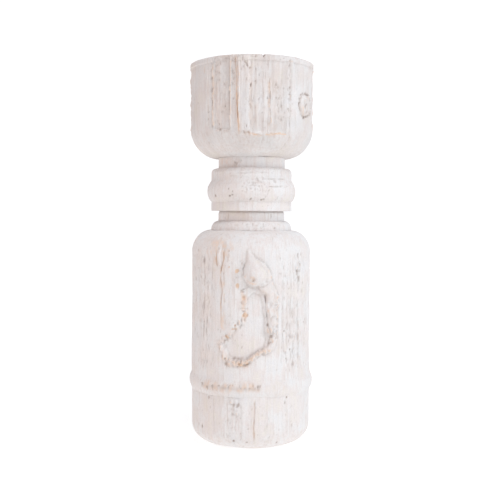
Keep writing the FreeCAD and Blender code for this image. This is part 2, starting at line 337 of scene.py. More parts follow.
# ------------------------------------------------------------------------------------------ carved sides
class Side:
    """The side of a turned piece, unrolled: one row for each outline point, one column for each step round.

    Tools change three things of each point: lift, how far it moves outwards in mm; bare, how much raw wood
    shows; and grime_and_shade, how dark it is with dust and with painted shade.
    """

    JOINT_FADE = 2.5           # mm from a joint over which relief grows to its full size
    RAW_FROM = 4.0             # mm past the last carved point at which the wood was never painted
    DRIFT = 0.7                # share of a ragged edge that wanders slowly
    TREMBLE = 0.5              # share of it that trembles
    DUST_AND_SHADE_DEPTH = 1.1           # mm below its surroundings at which a hollow is darkest with dust and painted shade
    DUST_AND_SHADE_MOST = 0.28
    WEAR_FROM = 0.45           # mm above its surroundings at which an edge starts to lose its paint
    WEAR_RANGE = 0.9
    WEAR_MOST = 0.45

    def __init__(self, outline: Outline, steps: int, girth: float, seed: int) -> None:
        """Lays out the side.

        Args:
            outline: the piece's outline.
            steps: how many steps go round.
            girth: the radius at which degrees are turned to mm.
            seed: what the piece's own noise starts from.
        """
        self.girth = girth
        self.random = np.random.default_rng(seed)
        self.turn = (np.arange(steps) * FULL_TURN / steps + 90.0 + 180.0) % FULL_TURN - 180.0
        self.height = np.array(outline.points)[:, 1]
        self.run = outline.runs()[:-1]
        self.weight = outline.weights(self.JOINT_FADE)[:, None]
        self.inner = outline.hidden(self.RAW_FROM)[:, None]
        self.lift = np.zeros((len(self.height), steps))
        self.bare = np.zeros_like(self.lift)
        self.grime_and_shade = np.zeros_like(self.lift)
        self.drift = self.noise(7.0, 7.0), self.noise(6.0, 8.0)
        self.tremble = self.noise(2.2, 2.6), self.noise(2.2, 2.6)

    def noise(self, across: float, along: float) -> Grid:
        """Soft noise from -1 to 1 that joins up round the back.

        Args:
            across: mm from one hill to the next round the piece.
            along: the same along the outline.

        Returns:
            One value for each point.
        """
        columns = max(3, round(math.tau * self.girth / across))
        rows = int(self.run[-1] / along) + 3
        hills = self.random.uniform(-1, 1, (rows, columns))
        x = (self.turn % FULL_TURN) / FULL_TURN * columns
        y = self.run / along
        left, low = np.floor(x).astype(int), np.floor(y).astype(int)
        x_share, y_share = smooth(x - left)[None, :], smooth(y - low)[:, None]
        right = (left + 1) % columns
        left = left % columns
        below = hills[np.ix_(low, left)] * (1 - x_share) + hills[np.ix_(low, right)] * x_share
        above = hills[np.ix_(low + 1, left)] * (1 - x_share) + hills[np.ix_(low + 1, right)] * x_share
        return below * (1 - y_share) + above * y_share

    def across(self, turn: float) -> Grid:
        """How far each column lies from a turn, in mm, positive to the right."""
        return np.radians((self.turn - turn + 180.0) % FULL_TURN - 180.0)[None, :] * self.girth

    def up(self, height: float) -> Grid:
        """How far each row lies above a height, in mm."""
        return (self.height - height)[:, None]

    def offset(self, place: Place, ragged: float = 0.0) -> tuple[Grid, Grid]:
        """How far each point lies from a place, with edges made ragged by this many mm."""
        across, up = self.across(place[0]), self.up(place[1])
        return (across + ragged * (self.DRIFT * self.drift[0] + self.TREMBLE * self.tremble[0]),
                up + ragged * (self.DRIFT * self.drift[1] + self.TREMBLE * self.tremble[1]))

    def flat(self, path: Path) -> list[Place]:
        """A path's places laid flat, in mm from its first one."""
        turn, height = path[0]
        return [(math.radians(place[0] - turn) * self.girth, place[1] - height) for place in path]

    def reach(self, path: Path, ragged: float = 0.0) -> tuple[Grid, Grid]:
        """Finds how near each point lies to a path.

        Args:
            path: the places that the path runs through.
            ragged: how many mm the path wanders.

        Returns:
            The distance in mm, and how far along the path the nearest spot is, from 0 to 1.
        """
        across, up = self.offset(path[0], ragged)
        corners = self.flat(path)
        lengths = [math.dist(a, b) for a, b in zip(corners, corners[1:])]
        nearest = np.full(self.lift.shape, np.inf)
        share = np.zeros_like(nearest)
        done = 0.0
        for (x, y), end, length in zip(corners, corners[1:], lengths):
            way_x, way_y = (end[0] - x) / length, (end[1] - y) / length
            along = np.clip((across - x) * way_x + (up - y) * way_y, 0, length)
            distance = np.hypot(across - x - along * way_x, up - y - along * way_y)
            closer = distance < nearest
            nearest = np.where(closer, distance, nearest)
            share = np.where(closer, (done + along) / sum(lengths), share)
            done += length
        return nearest, share

    def depth_inside(self, path: Path, ragged: float) -> Grid:
        """How deep each point lies inside a closed path, in mm, negative outside.

        Args:
            path: the places that the edge runs through.
            ragged: how many mm the edge wanders.

        Returns:
            One depth for each point.
        """
        closed = path + path[:1]
        distance, _ = self.reach(closed, ragged)
        across, up = self.offset(path[0], ragged)
        corners = self.flat(closed)
        inside = np.zeros(self.lift.shape, bool)
        for (x, y), (end_x, end_y) in zip(corners, corners[1:]):
            crosses = (up > y) != (up > end_y)
            inside ^= crosses & (across < x + (up - y) * (end_x - x) / (end_y - y if end_y != y else TINY))
        return np.where(inside, distance, -distance)

    def expose(self, amount: Grid) -> None:
        """Bares the wood by at least this much."""
        self.bare = np.maximum(self.bare, amount)

    def soil_and_shade(self, amount: Grid) -> None:
        """Darkens the surface by at least this much: dust, and in places painted shade."""
        self.grime_and_shade = np.maximum(self.grime_and_shade, amount)

    def blurred(self, values: Grid, reach: int) -> Grid:
        """Mean of the values over a square of points round each one.

        Args:
            values: one value for each point.
            reach: how many points the square reaches each way.

        Returns:
            The mean for each point.
        """
        for axis in (0, 1):
            values = sum(np.roll(values, shift, axis) for shift in range(-reach, reach + 1)) / (2 * reach + 1)
        return values

    def settle(self) -> None:
        """Darkens hollows with dust and painted shade, wears the paint off sharp edges and bares what is
        inside.
        """
        self.lift *= self.weight
        proud = self.lift - self.blurred(self.lift, 3)
        # hollows darken: dust, and painted shade
        self.soil_and_shade(smooth(-proud / self.DUST_AND_SHADE_DEPTH) * self.DUST_AND_SHADE_MOST)
        self.expose(smooth((proud - self.WEAR_FROM) / self.WEAR_RANGE) * self.WEAR_MOST)
        self.bare = np.where(self.inner, 1.0, self.bare)
        self.grime_and_shade = np.where(self.inner, 0.0, self.grime_and_shade)


class Mark(Protocol):
    """Anything that a tool, the weather or the tree left in a side."""

    def cut(self, side: Side) -> None:
        """Works the mark into the side."""


@dataclass(frozen=True)
class Window:
    """The part of a side in which marks are made: turns from left to right, and heights."""

    left: float = -180.0
    right: float = 180.0
    low: float = -1000.0
    high: float = 1000.0
    fade: float = 6.0

    def over(self, side: Side) -> Grid:
        """How far inside the window each point is, from 0 to 1.

        Args:
            side: the side to work on.

        Returns:
            One share for each point.
        """
        inside = smooth(side.up(self.low) / self.fade) * smooth(-side.up(self.high) / self.fade)
        if self.right - self.left < FULL_TURN:
            inside = inside * smooth(side.across(self.left) / self.fade)
            inside = inside * smooth(-side.across(self.right) / self.fade)
        return np.broadcast_to(inside, side.lift.shape)


@dataclass(frozen=True)
class Fibres:
    """Grooves along the grain, where the soft wood has weathered away between the hard."""

    width: float
    length: float
    depth: float
    window: Window = Window()
    soil_and_shade: float = 0.35
    patch: Grain = (18.0, 45.0)

    def cut(self, side: Side) -> None:
        """Sinks the grooves.

        Args:
            side: the side to work on.
        """
        over = self.window.over(side)
        patches = 0.55 + 0.45 * side.noise(*self.patch)
        groove = np.zeros_like(side.lift)
        for share, width in ((0.65, self.width), (0.35, self.width * 0.6)):
            groove += share * (1 - np.abs(side.noise(width, self.length * width / self.width))) ** 3
        side.lift -= self.depth * groove * patches * over
        side.soil_and_shade(self.soil_and_shade * smooth((groove * patches - 0.45) / 0.4) * over)


@dataclass(frozen=True)
class Swell:
    """The slow unevenness of hand-turned and sanded wood."""

    size: float
    depth: float

    def cut(self, side: Side) -> None:
        """Raises and lowers the side softly."""
        side.lift += self.depth * side.noise(self.size, self.size * 1.6)


@dataclass(frozen=True)
class LatheLines:
    """Fine rings that the turning tool left."""

    spacing: float
    depth: float
    window: Window = Window()
    arc: float = 120.0
    patch: Grain = (24.0, 9.0)

    def cut(self, side: Side) -> None:
        """Sinks the rings, deeper in some patches than in others.

        Args:
            side: the side to work on.
        """
        rings = side.noise(self.arc, self.spacing)
        patches = smooth(0.5 + 0.8 * side.noise(*self.patch))
        side.lift += self.depth * rings * patches * self.window.over(side)


@dataclass(frozen=True)
class Board:
    """A strip that was split or hewn off along the grain, with torn ends."""

    left: float
    right: float
    low: float
    high: float
    lift: float
    rough: float = 0.0
    ragged: float = 0.7
    edge: float = 0.9
    corner: float = 2.0
    bare: float = 0.0
    fine: Grain = (2.6, 22.0)
    coarse: Grain = (5.0, 9.0)
    patch: Grain = (6.0, 6.0)

    def cut(self, side: Side) -> None:
        """Moves the strip in or out and roughens it.

        Args:
            side: the side to work on.
        """
        from_left, from_low = side.offset((self.left, self.low), self.ragged)
        from_right, from_high = side.offset((self.right, self.high), self.ragged)
        sideways = np.minimum(from_left, -from_right)
        endways = np.minimum(from_low, -from_high)
        inside = self.corner - np.hypot(np.maximum(self.corner - sideways, 0),
                                        np.maximum(self.corner - endways, 0))
        over = smooth(inside / self.edge)
        grain = side.noise(*self.fine) * 0.6 + side.noise(*self.coarse) * 0.4
        side.lift += over * (self.lift + self.rough * grain)
        if self.bare:
            rim = smooth(1 - np.abs(inside - 0.3) / 1.2)
            side.expose(rim * self.bare * smooth(0.5 + 1.2 * side.noise(*self.patch)))


@dataclass(frozen=True)
class Check:
    """A crack that opened along the grain as the wood dried, or a line that a blade left."""

    path: Path
    width: float
    depth: float
    bare: float = 0.0
    soil_and_shade: float = 0.6
    ragged: float = 0.6
    wander: Grain = (3.0, 7.0)
    patch: Grain = (4.0, 5.0)
    dust: Grain = (4.0, 3.5)

    def cut(self, side: Side) -> None:
        """Opens the crack, which tapers at both ends.

        Args:
            side: the side to work on.
        """
        distance, share = side.reach(self.path, self.ragged)
        taper = np.clip(8 * share * (1 - share), 0.25, 1.0)
        taper = taper * (0.85 + 0.35 * side.noise(*self.wander))
        half = self.width / 2 * taper
        core = smooth(1.25 - distance / half)
        side.lift -= self.depth * core * taper
        patchy = smooth(0.75 + 0.9 * side.noise(*self.patch))
        side.expose(self.bare * smooth(1.5 - distance / (half * 1.2)) * (0.65 + 0.35 * patchy))
        # the dark core: dust in the crack, and painted shade in it
        side.soil_and_shade(self.soil_and_shade * core * smooth(0.6 + 1.1 * side.noise(*self.dust)))


@dataclass(frozen=True)
class Chip:
    """A flake that has come off: a shallow hollow with a torn edge."""

    place: Place
    width: float
    height: float
    depth: float
    bare: float = 0.0
    soil_and_shade: float = 0.3
    ragged: float = 0.8
    lean: float = 0.0

    def cut(self, side: Side) -> None:
        """Sinks the hollow.

        Args:
            side: the side to work on.
        """
        across, up = side.offset(self.place, self.ragged)
        slope = math.radians(self.lean)
        wide = across * math.cos(slope) + up * math.sin(slope)
        high = up * math.cos(slope) - across * math.sin(slope)
        core = smooth(2.0 * (1 - np.hypot(wide / self.width * 2, high / self.height * 2)))
        side.lift -= self.depth * core
        side.expose(self.bare * core)
        side.soil_and_shade(self.soil_and_shade * core)


@dataclass(frozen=True)
class Chips:
    """Many small flakes and nicks, scattered over a window."""

    count: int
    window: Window
    width: tuple[float, float]
    height: tuple[float, float]
    depth: tuple[float, float]
    bare_share: float = 0.1
    soil_and_shade: float = 0.4

    def cut(self, side: Side) -> None:
        """Sinks each flake where its turn at chance puts it.

        Args:
            side: the side to work on.
        """
        for _ in range(self.count):
            draw = side.random.uniform(size=7)
            turn = self.window.left + (self.window.right - self.window.left) * draw[0]
            height = self.window.low + (self.window.high - self.window.low) * draw[1]
            rows = np.abs(side.height - height) < self.height[1]
            if not rows.any():
                continue
            size = self.width[0] + (self.width[1] - self.width[0]) * draw[2] ** 2
            tall = self.height[0] + (self.height[1] - self.height[0]) * draw[3] ** 2
            depth = self.depth[0] + (self.depth[1] - self.depth[0]) * draw[4]
            across = side.across(turn)
            columns = np.abs(across[0]) < size
            part = np.ix_(rows, columns)
            wide = across[0][columns][None, :] + 0.4 * side.tremble[0][part]
            high = side.up(height)[rows] + 0.8 * side.tremble[1][part]
            core = smooth(1.6 * (1 - np.hypot(wide / size * 2, high / tall * 2)))
            side.lift[part] -= depth * core
            side.grime_and_shade[part] = np.maximum(side.grime_and_shade[part], self.soil_and_shade * core * draw[5])
            if draw[6] < self.bare_share:
                side.bare[part] = np.maximum(side.bare[part], 0.9 * core)


@dataclass(frozen=True)
class Knot:
    """A knot: oval rings round a dark heart, in grain that bends round it."""

    place: Place
    width: float
    height: float
    rise: float
    rings: float = 2.5
    soil_and_shade: float = 0.55
    ragged: float = 2.2
    ring_grain: Grain = (4.0, 4.0)
    rim_grain: Grain = (3.0, 3.0)
    rim_width: float = 0.16

    def cut(self, side: Side) -> None:
        """Raises the knot and rings it.

        Args:
            side: the side to work on.
        """
        across, up = side.offset(self.place, self.ragged)
        out = np.hypot(across / self.width * 2, up / self.height * 2)
        over = smooth(3.0 * (1.15 - out))
        ring = np.cos(math.tau * self.rings * out) * smooth(0.5 + side.noise(*self.ring_grain))
        side.lift += over * (self.rise * (1 - out * 0.5) + 0.35 * ring)
        rim = smooth(1 - np.abs(out - 1.0) / self.rim_width) * smooth(0.7 + side.noise(*self.rim_grain))
        side.lift -= 0.8 * rim
        side.soil_and_shade(np.maximum(self.soil_and_shade * rim, 0.3 * over * smooth(-ring)))
        side.expose(0.30 * over * smooth(-ring))


@dataclass(frozen=True)
class Burl:
    """A round-backed growth along a path, such as a branch stub or a healed seam."""

    path: Path
    width: tuple[float, float]
    rise: tuple[float, float]
    rough: float = 0.0
    ragged: float = 0.8
    steep: float = 0.5
    grain: Grain = (3.2, 4.5)

    def cut(self, side: Side) -> None:
        """Raises the growth from its first width and rise to its last.

        Args:
            side: the side to work on.
        """
        distance, share = side.reach(self.path, self.ragged)
        half = (self.width[0] + (self.width[1] - self.width[0]) * smooth(share)) / 2
        rise = self.rise[0] + (self.rise[1] - self.rise[0]) * smooth(share)
        dome = np.clip(1 - (distance / half) ** 2, 0, 1) ** self.steep
        over = smooth(dome * 1.8)
        grain = side.noise(*self.grain)
        grown = side.lift * (1 - over) + over * rise * dome + over * self.rough * grain
        side.lift = np.maximum(side.lift, grown)


@dataclass(frozen=True)
class Torn:
    """Wood torn up in splinters along a path, some of them bare."""

    path: Path
    width: float
    rough: float
    bare: float = 0.0
    soil_and_shade: float = 0.3
    grain: Grain = (1.7, 2.6)
    ragged: float = 1.4
    patch: Grain = (3.0, 4.5)

    def cut(self, side: Side) -> None:
        """Raises splinters, sinks the gaps between them, and bares some.

        Args:
            side: the side to work on.
        """
        distance, _ = side.reach(self.path, self.ragged)
        core = smooth(1.5 * (1 - distance / (self.width / 2)))
        splinters = side.noise(*self.grain) * 0.65 + side.noise(self.grain[0] * 2, self.grain[1] * 2) * 0.35
        side.lift += core * self.rough * 1.8 * splinters
        side.expose(core * self.bare * 0.8 * smooth(0.6 + 1.5 * side.noise(*self.patch)))
        side.soil_and_shade(core * self.soil_and_shade * 1.2 * smooth((-splinters - 0.24) / 0.3))


@dataclass(frozen=True)
class Hollow:
    """A smooth field inside a closed path, sunk below the bark-rough wood round it."""

    path: Path
    depth: float
    calm: float = 0.7
    edge: float = 2.4
    ragged: float = 1.2

    def cut(self, side: Side) -> None:
        """Smooths the field and sinks it.

        Args:
            side: the side to work on.
        """
        over = smooth(side.depth_inside(self.path, self.ragged) / self.edge)
        side.lift = side.lift * (1 - self.calm * over) - self.depth * over
        side.grime_and_shade *= 1 - self.calm * over


@dataclass(frozen=True)
class Worn:
    """A patch where hands or cleaning have taken the whitewash off the high spots."""

    place: Place
    width: float
    height: float
    bare: float
    soil_and_shade: float = 0.0
    streak: float = 2.2
    streak_length: float = 7.0
    ragged: float = 2.0

    def cut(self, side: Side) -> None:
        """Bares the wood in short streaks along the grain.

        Args:
            side: the side to work on.
        """
        across, up = side.offset(self.place, self.ragged)
        core = smooth(1.5 * (1 - np.hypot(across / self.width * 2, up / self.height * 2)))
        streaks = smooth(0.5 + 1.3 * side.noise(self.streak, self.streak_length))
        side.expose(self.bare * core * streaks)
        side.soil_and_shade(self.soil_and_shade * core * streaks)
        side.lift -= 0.25 * core * streaks


@dataclass(frozen=True)
class Thin:
    """Paint rubbed thin along a path, so that the wood warms it."""

    path: Path
    width: float
    bare: float
    ragged: float = 1.6
    patch: Grain = (2.6, 6.0)

    def cut(self, side: Side) -> None:
        """Thins the paint without any relief.

        Args:
            side: the side to work on.
        """
        distance, _ = side.reach(self.path, self.ragged)
        core = smooth(1.5 * (1 - distance / (self.width / 2)))
        side.expose(self.bare * core * smooth(0.6 + 0.8 * side.noise(*self.patch)))


@dataclass(frozen=True)
class Veil:
    """An even grey over a stretch: painted shade over the cup, and a dulled worn band on the body's bead."""

    window: Window
    soil_and_shade: float
    patch: Grain = (7.0, 16.0)

    def cut(self, side: Side) -> None:
        """Darkens the stretch lightly."""
        side.soil_and_shade(self.soil_and_shade * self.window.over(side) * (0.85 + 0.4 * side.noise(*self.patch)))


@dataclass(frozen=True)
class Quirk:
    """A narrow groove turned right round."""

    height: float
    width: float
    depth: float
    soil_and_shade: float = 0.0

    def cut(self, side: Side) -> None:
        """Sinks the groove.

        Args:
            side: the side to work on.
        """
        core = smooth(1.3 - np.abs(side.up(self.height)) / (self.width / 2)) * np.ones_like(side.lift)
        side.lift -= self.depth * core
        side.soil_and_shade(self.soil_and_shade * core)


# ------------------------------------------------------------------------------------------ finishes
@dataclass(frozen=True)
class Whitewash:
    """Chalky lime paint brushed over weathered pine.

    The eye gets a matt, uneven white that turns pink and cream where the wood warms it, grey dust and
    painted shade in the grooves, and tan wood where the paint has come off.
    """

    name: str = "lime_whitewash_on_weathered_pine"
    cool: str = "#EAE8E8"
    plain: str = "#EDEAE8"
    pink: str = "#EBE4E1"
    cream: str = "#EEE8E1"
    bare_light: str = "#F8E2CE"
    bare_dark: str = "#E8C5A7"
    thin: str = "#E8D6CA"
    # grey of dust, also the colour of painted shade
    dirt_and_shade: str = "#AC9D93"
    patch_mm: float = 26.0
    streak_mm: float = 2.4
    fibre_mm: float = 0.9
    pore_mm: float = 1.5
    grain_stretch: float = 0.07
    streak_share: float = 0.35
    bare_from: float = 0.22
    bare_to: float = 0.75
    wash: float = 1.5
    bump_strength: float = 0.9
    bump_mm: float = 0.68
    roughness: float = 0.78

    def material(self) -> bpy.types.Material:
        """Builds the material.

        Returns:
            The whitewash, which reads the attributes "bare" and "grime_and_shade".
        """
        material, tree = empty_material(self.name)
        place = add_node(tree, "TexCoord").outputs["Object"]
        along = add_node(tree, "Mapping", {}, {
            "Vector": place, "Scale": (1.0, 1.0, self.grain_stretch)}).outputs[0]

        patches = add_node(tree, "TexNoise", {}, {
            "Vector": place, "Scale": 1 / (self.patch_mm * MM), "Detail": 4.0, "Roughness": 0.62})
        streaks = add_node(tree, "TexNoise", {}, {
            "Vector": along, "Scale": 1 / (self.streak_mm * MM), "Detail": 5.0, "Roughness": 0.6})
        veiled = add_node(tree, "Mix", {}, {
            "Factor": self.streak_share, 2: patches.outputs["Fac"], 3: streaks.outputs["Fac"]})
        tint = add_node(tree, "ValToRGB", {}, {"Fac": veiled.outputs[0]})
        for at, code in ((0.36, self.cool), (0.46, self.plain), (0.54, self.pink), (0.64, self.cream)):
            stop = tint.color_ramp.elements.new(at)
            stop.color = linear(code)
        tint.color_ramp.elements.remove(tint.color_ramp.elements[-1])
        tint.color_ramp.elements.remove(tint.color_ramp.elements[0])

        fibres = add_node(tree, "TexNoise", {}, {
            "Vector": along, "Scale": 1 / (self.fibre_mm * MM), "Detail": 3.0, "Roughness": 0.6})
        chalk = add_node(tree, "TexNoise", {}, {
            "Vector": place, "Scale": 1 / (self.pore_mm * MM), "Detail": 3.0, "Roughness": 0.7})

        bare = add_node(tree, "Attribute", {"attribute_name": "bare"}).outputs["Fac"]
        grime_and_shade = add_node(tree, "Attribute", {"attribute_name": "grime_and_shade"}).outputs["Fac"]
        broken = add_node(tree, "Math", {"operation": "MULTIPLY_ADD"}, {
            0: chalk.outputs["Fac"], 1: 0.9, 2: -0.45})
        torn = add_node(tree, "Math", {"operation": "ADD"}, {0: bare, 1: broken.outputs[0]})
        bare_mask = add_node(tree, "MapRange", {"interpolation_type": "SMOOTHSTEP"}, {
            "Value": torn.outputs[0], "From Min": self.bare_from, "From Max": self.bare_to})
        pores = add_node(tree, "MapRange", {"interpolation_type": "SMOOTHSTEP"}, {
            "Value": chalk.outputs["Fac"], "From Min": 0.66, "From Max": 0.76, "To Max": 0.35})
        faint = add_node(tree, "MapRange", {}, {
            "Value": streaks.outputs["Fac"], "From Min": 0.52, "From Max": 0.78, "To Max": 0.22})
        dirt_and_shade_sum = add_node(tree, "Math", {"operation": "MULTIPLY_ADD"}, {
            0: grime_and_shade, 1: 0.95, 2: faint.outputs[0]})
        dirt_and_shade_all = add_node(tree, "Math", {"operation": "MAXIMUM", "use_clamp": True},
                            {0: dirt_and_shade_sum.outputs[0], 1: pores.outputs[0]})

        mottle = add_node(tree, "MapRange", {}, {
            "Value": chalk.outputs["Fac"], "From Min": 0.3, "From Max": 0.7, "To Min": 0.94, "To Max": 1.03})
        chalky = add_node(tree, "Mix", {"data_type": "RGBA", "blend_type": "MULTIPLY"}, {
            "Factor": 1.0, 6: tint.outputs["Color"], 7: mottle.outputs[0]})
        rubbed = add_node(tree, "Math", {"operation": "MULTIPLY", "use_clamp": True}, {
            0: bare, 1: self.wash})
        washed = add_node(tree, "Mix", {"data_type": "RGBA"}, {
            "Factor": rubbed.outputs[0], 6: chalky.outputs[2], 7: linear(self.thin)})
        wood = add_node(tree, "Mix", {"data_type": "RGBA"}, {
            "Factor": streaks.outputs["Fac"], 6: linear(self.bare_light), 7: linear(self.bare_dark)})
        worn = add_node(tree, "Mix", {"data_type": "RGBA"}, {
            "Factor": bare_mask.outputs[0], 6: washed.outputs[2], 7: wood.outputs[2]})
        # darkens by the grime_and_shade attribute: grey dust, and painted shade in hollows and cracks, under
        # the collar and over the cup
        dirtied_and_shaded = add_node(tree, "Mix", {"data_type": "RGBA"}, {
            "Factor": dirt_and_shade_all.outputs[0], 6: worn.outputs[2], 7: linear(self.dirt_and_shade)})

        relief = add_node(tree, "Math", {"operation": "MULTIPLY_ADD"},
                          {0: fibres.outputs["Fac"], 1: 0.6, 2: streaks.outputs["Fac"]})
        grit = add_node(tree, "Math", {"operation": "MULTIPLY_ADD"},
                        {0: chalk.outputs["Fac"], 1: 0.5, 2: relief.outputs[0]})
        bump = add_node(tree, "Bump", {}, {
            "Height": grit.outputs[0], "Strength": self.bump_strength, "Distance": self.bump_mm * MM})
        dull = add_node(tree, "MapRange", {}, {
            "Value": streaks.outputs["Fac"],
            "To Min": self.roughness - 0.08, "To Max": self.roughness + 0.12})
        shader = add_node(tree, "BsdfPrincipled", {}, {
            "Base Color": dirtied_and_shaded.outputs[2], "Roughness": dull.outputs[0], "Normal": bump.outputs[0],
            "Specular IOR Level": 0.25})
        add_node(tree, "OutputMaterial", {}, {"Surface": shader.outputs[0]})
        return material


@dataclass(frozen=True)
class RawWood:
    """Sawn beech or pine that was never painted: warm, matt, with long grain and rings across its ends."""

    name: str = "sawn_pine"
    early: str = "#E0BE91"
    late: str = "#B98A5A"
    ring_mm: float = 3.0
    fibre_mm: float = 0.6

    def material(self) -> bpy.types.Material:
        """Builds the material.

        Returns:
            The sawn wood.
        """
        material, tree = empty_material(self.name)
        place = add_node(tree, "TexCoord").outputs["Object"]
        off_heart = add_node(tree, "Mapping", {}, {
            "Vector": place, "Location": (0.031, 0.017, 0.0), "Scale": (1.0, 1.0, 0.05)}).outputs[0]
        rings = add_node(tree, "TexWave", {"wave_type": "RINGS", "rings_direction": "Z"}, {
            "Vector": off_heart, "Scale": 1 / (self.ring_mm * MM * 6.3), "Distortion": 2.5, "Detail": 3.0,
            "Detail Scale": 1.5})
        fibres = add_node(tree, "TexNoise", {}, {
            "Vector": off_heart, "Scale": 1 / (self.fibre_mm * MM), "Detail": 3.0})
        blend = add_node(tree, "Math", {"operation": "MULTIPLY"},
                         {0: rings.outputs["Fac"], 1: fibres.outputs["Fac"]})
        colour = add_node(tree, "Mix", {"data_type": "RGBA"}, {
            "Factor": blend.outputs[0], 6: linear(self.early), 7: linear(self.late)})
        bump = add_node(tree, "Bump", {}, {
            "Height": fibres.outputs["Fac"], "Strength": 0.4, "Distance": 0.2 * MM})
        dull = add_node(tree, "MapRange", {}, {"Value": fibres.outputs["Fac"], "To Min": 0.6, "To Max": 0.85})
        shader = add_node(tree, "BsdfPrincipled", {}, {
            "Base Color": colour.outputs[2], "Roughness": dull.outputs[0], "Normal": bump.outputs[0]})
        add_node(tree, "OutputMaterial", {}, {"Surface": shader.outputs[0]})
        return material


@dataclass(frozen=True)
class Steel:
    """Steel with a worked surface: bright zinc plate, or satin pressed sheet with fine round scratches.

    The eye gets soft cloudy reflections with a grain in them. Real scratches are finer than scratch_mm,
    which is as coarse as they have to be to show.
    """

    name: str
    light: str
    dark: str
    roughness: float
    cloud_mm: float
    scratch_mm: float
    round_scratches: bool = False

    def material(self) -> bpy.types.Material:
        """Builds the material.

        Returns:
            The worked steel.
        """
        material, tree = empty_material(self.name)
        place = add_node(tree, "TexCoord").outputs["Object"]
        clouds = add_node(tree, "TexNoise", {}, {
            "Vector": place, "Scale": 1 / (self.cloud_mm * MM), "Detail": 5.0, "Roughness": 0.65})
        if self.round_scratches:
            scratches = add_node(tree, "TexWave", {"wave_type": "RINGS", "rings_direction": "Z"}, {
                "Vector": place, "Scale": 1 / (self.scratch_mm * MM * 6.3), "Distortion": 0.4, "Detail": 2.0})
        else:
            scratches = add_node(tree, "TexNoise", {}, {
                "Vector": place, "Scale": 1 / (self.scratch_mm * MM), "Detail": 4.0})
        colour = add_node(tree, "Mix", {"data_type": "RGBA"}, {
            "Factor": clouds.outputs["Fac"], 6: linear(self.light), 7: linear(self.dark)})
        dull = add_node(tree, "MapRange", {}, {
            "Value": clouds.outputs["Fac"], "From Min": 0.3, "From Max": 0.7,
            "To Min": self.roughness - 0.07, "To Max": self.roughness + 0.12})
        bump = add_node(tree, "Bump", {}, {
            "Height": scratches.outputs["Fac"], "Strength": 0.15, "Distance": 0.1 * MM})
        shader = add_node(tree, "BsdfPrincipled", {}, {
            "Base Color": colour.outputs[2], "Roughness": dull.outputs[0], "Normal": bump.outputs[0],
            "Metallic": 1.0})
        add_node(tree, "OutputMaterial", {}, {"Surface": shader.outputs[0]})
        return material


@dataclass(frozen=True)
class Felt:
    """Pressed wool felt: matt and furry, with flecks of lighter and darker fibre.

    Real fibres are finer than fleck_mm, which is as coarse as they have to be to show.
    """

    name: str = "pressed_wool_felt"
    light: str = "#B7AC9C"
    dark: str = "#857B6E"
    fleck_mm: float = 0.5
    tuft_mm: float = 2.0

    def material(self) -> bpy.types.Material:
        """Builds the material.

        Returns:
            The felt.
        """
        material, tree = empty_material(self.name)
        place = add_node(tree, "TexCoord").outputs["Object"]
        flecks = add_node(tree, "TexNoise", {}, {
            "Vector": place, "Scale": 1 / (self.fleck_mm * MM), "Detail": 4.0, "Roughness": 0.75})
        tufts = add_node(tree, "TexNoise", {}, {
            "Vector": place, "Scale": 1 / (self.tuft_mm * MM), "Detail": 2.0, "Distortion": 1.2})
        blend = add_node(tree, "Math", {"operation": "MULTIPLY"},
                         {0: flecks.outputs["Fac"], 1: tufts.outputs["Fac"]})
        share = add_node(tree, "MapRange", {}, {"Value": blend.outputs[0], "From Min": 0.12, "From Max": 0.4})
        colour = add_node(tree, "Mix", {"data_type": "RGBA"}, {
            "Factor": share.outputs[0], 6: linear(self.light), 7: linear(self.dark)})
        bump = add_node(tree, "Bump", {}, {
            "Height": flecks.outputs["Fac"], "Strength": 0.8, "Distance": 0.3 * MM})
        shader = add_node(tree, "BsdfPrincipled", {}, {
            "Base Color": colour.outputs[2], "Normal": bump.outputs[0], "Roughness": 0.95,
            "Sheen Weight": 0.4, "Sheen Roughness": 0.5})
        add_node(tree, "OutputMaterial", {}, {"Surface": shader.outputs[0]})
        return material


# ------------------------------------------------------------------------------------------ turned pieces
@dataclass
class Joinery:
    """The sizes that the turned sections share where they meet, in mm."""

    fit: float = 0.15
    rod_clearance: float = 0.5
    tenon: float = 20.0
    tenon_gap: float = 1.0

    @property
    def rod_hole(self) -> float:
        """Radius of the hole for the tie rod."""
        return span("tie_rod")[0] + self.rod_clearance

    @property
    def nut_well(self) -> float:
        """Radius of the wells for the tie rod's nuts."""
        return span("base_plug")[0] + self.fit

    @property
    def mortise(self) -> float:
        """Radius of the mortises that take the neck's tenons."""
        return self.tenon + self.fit


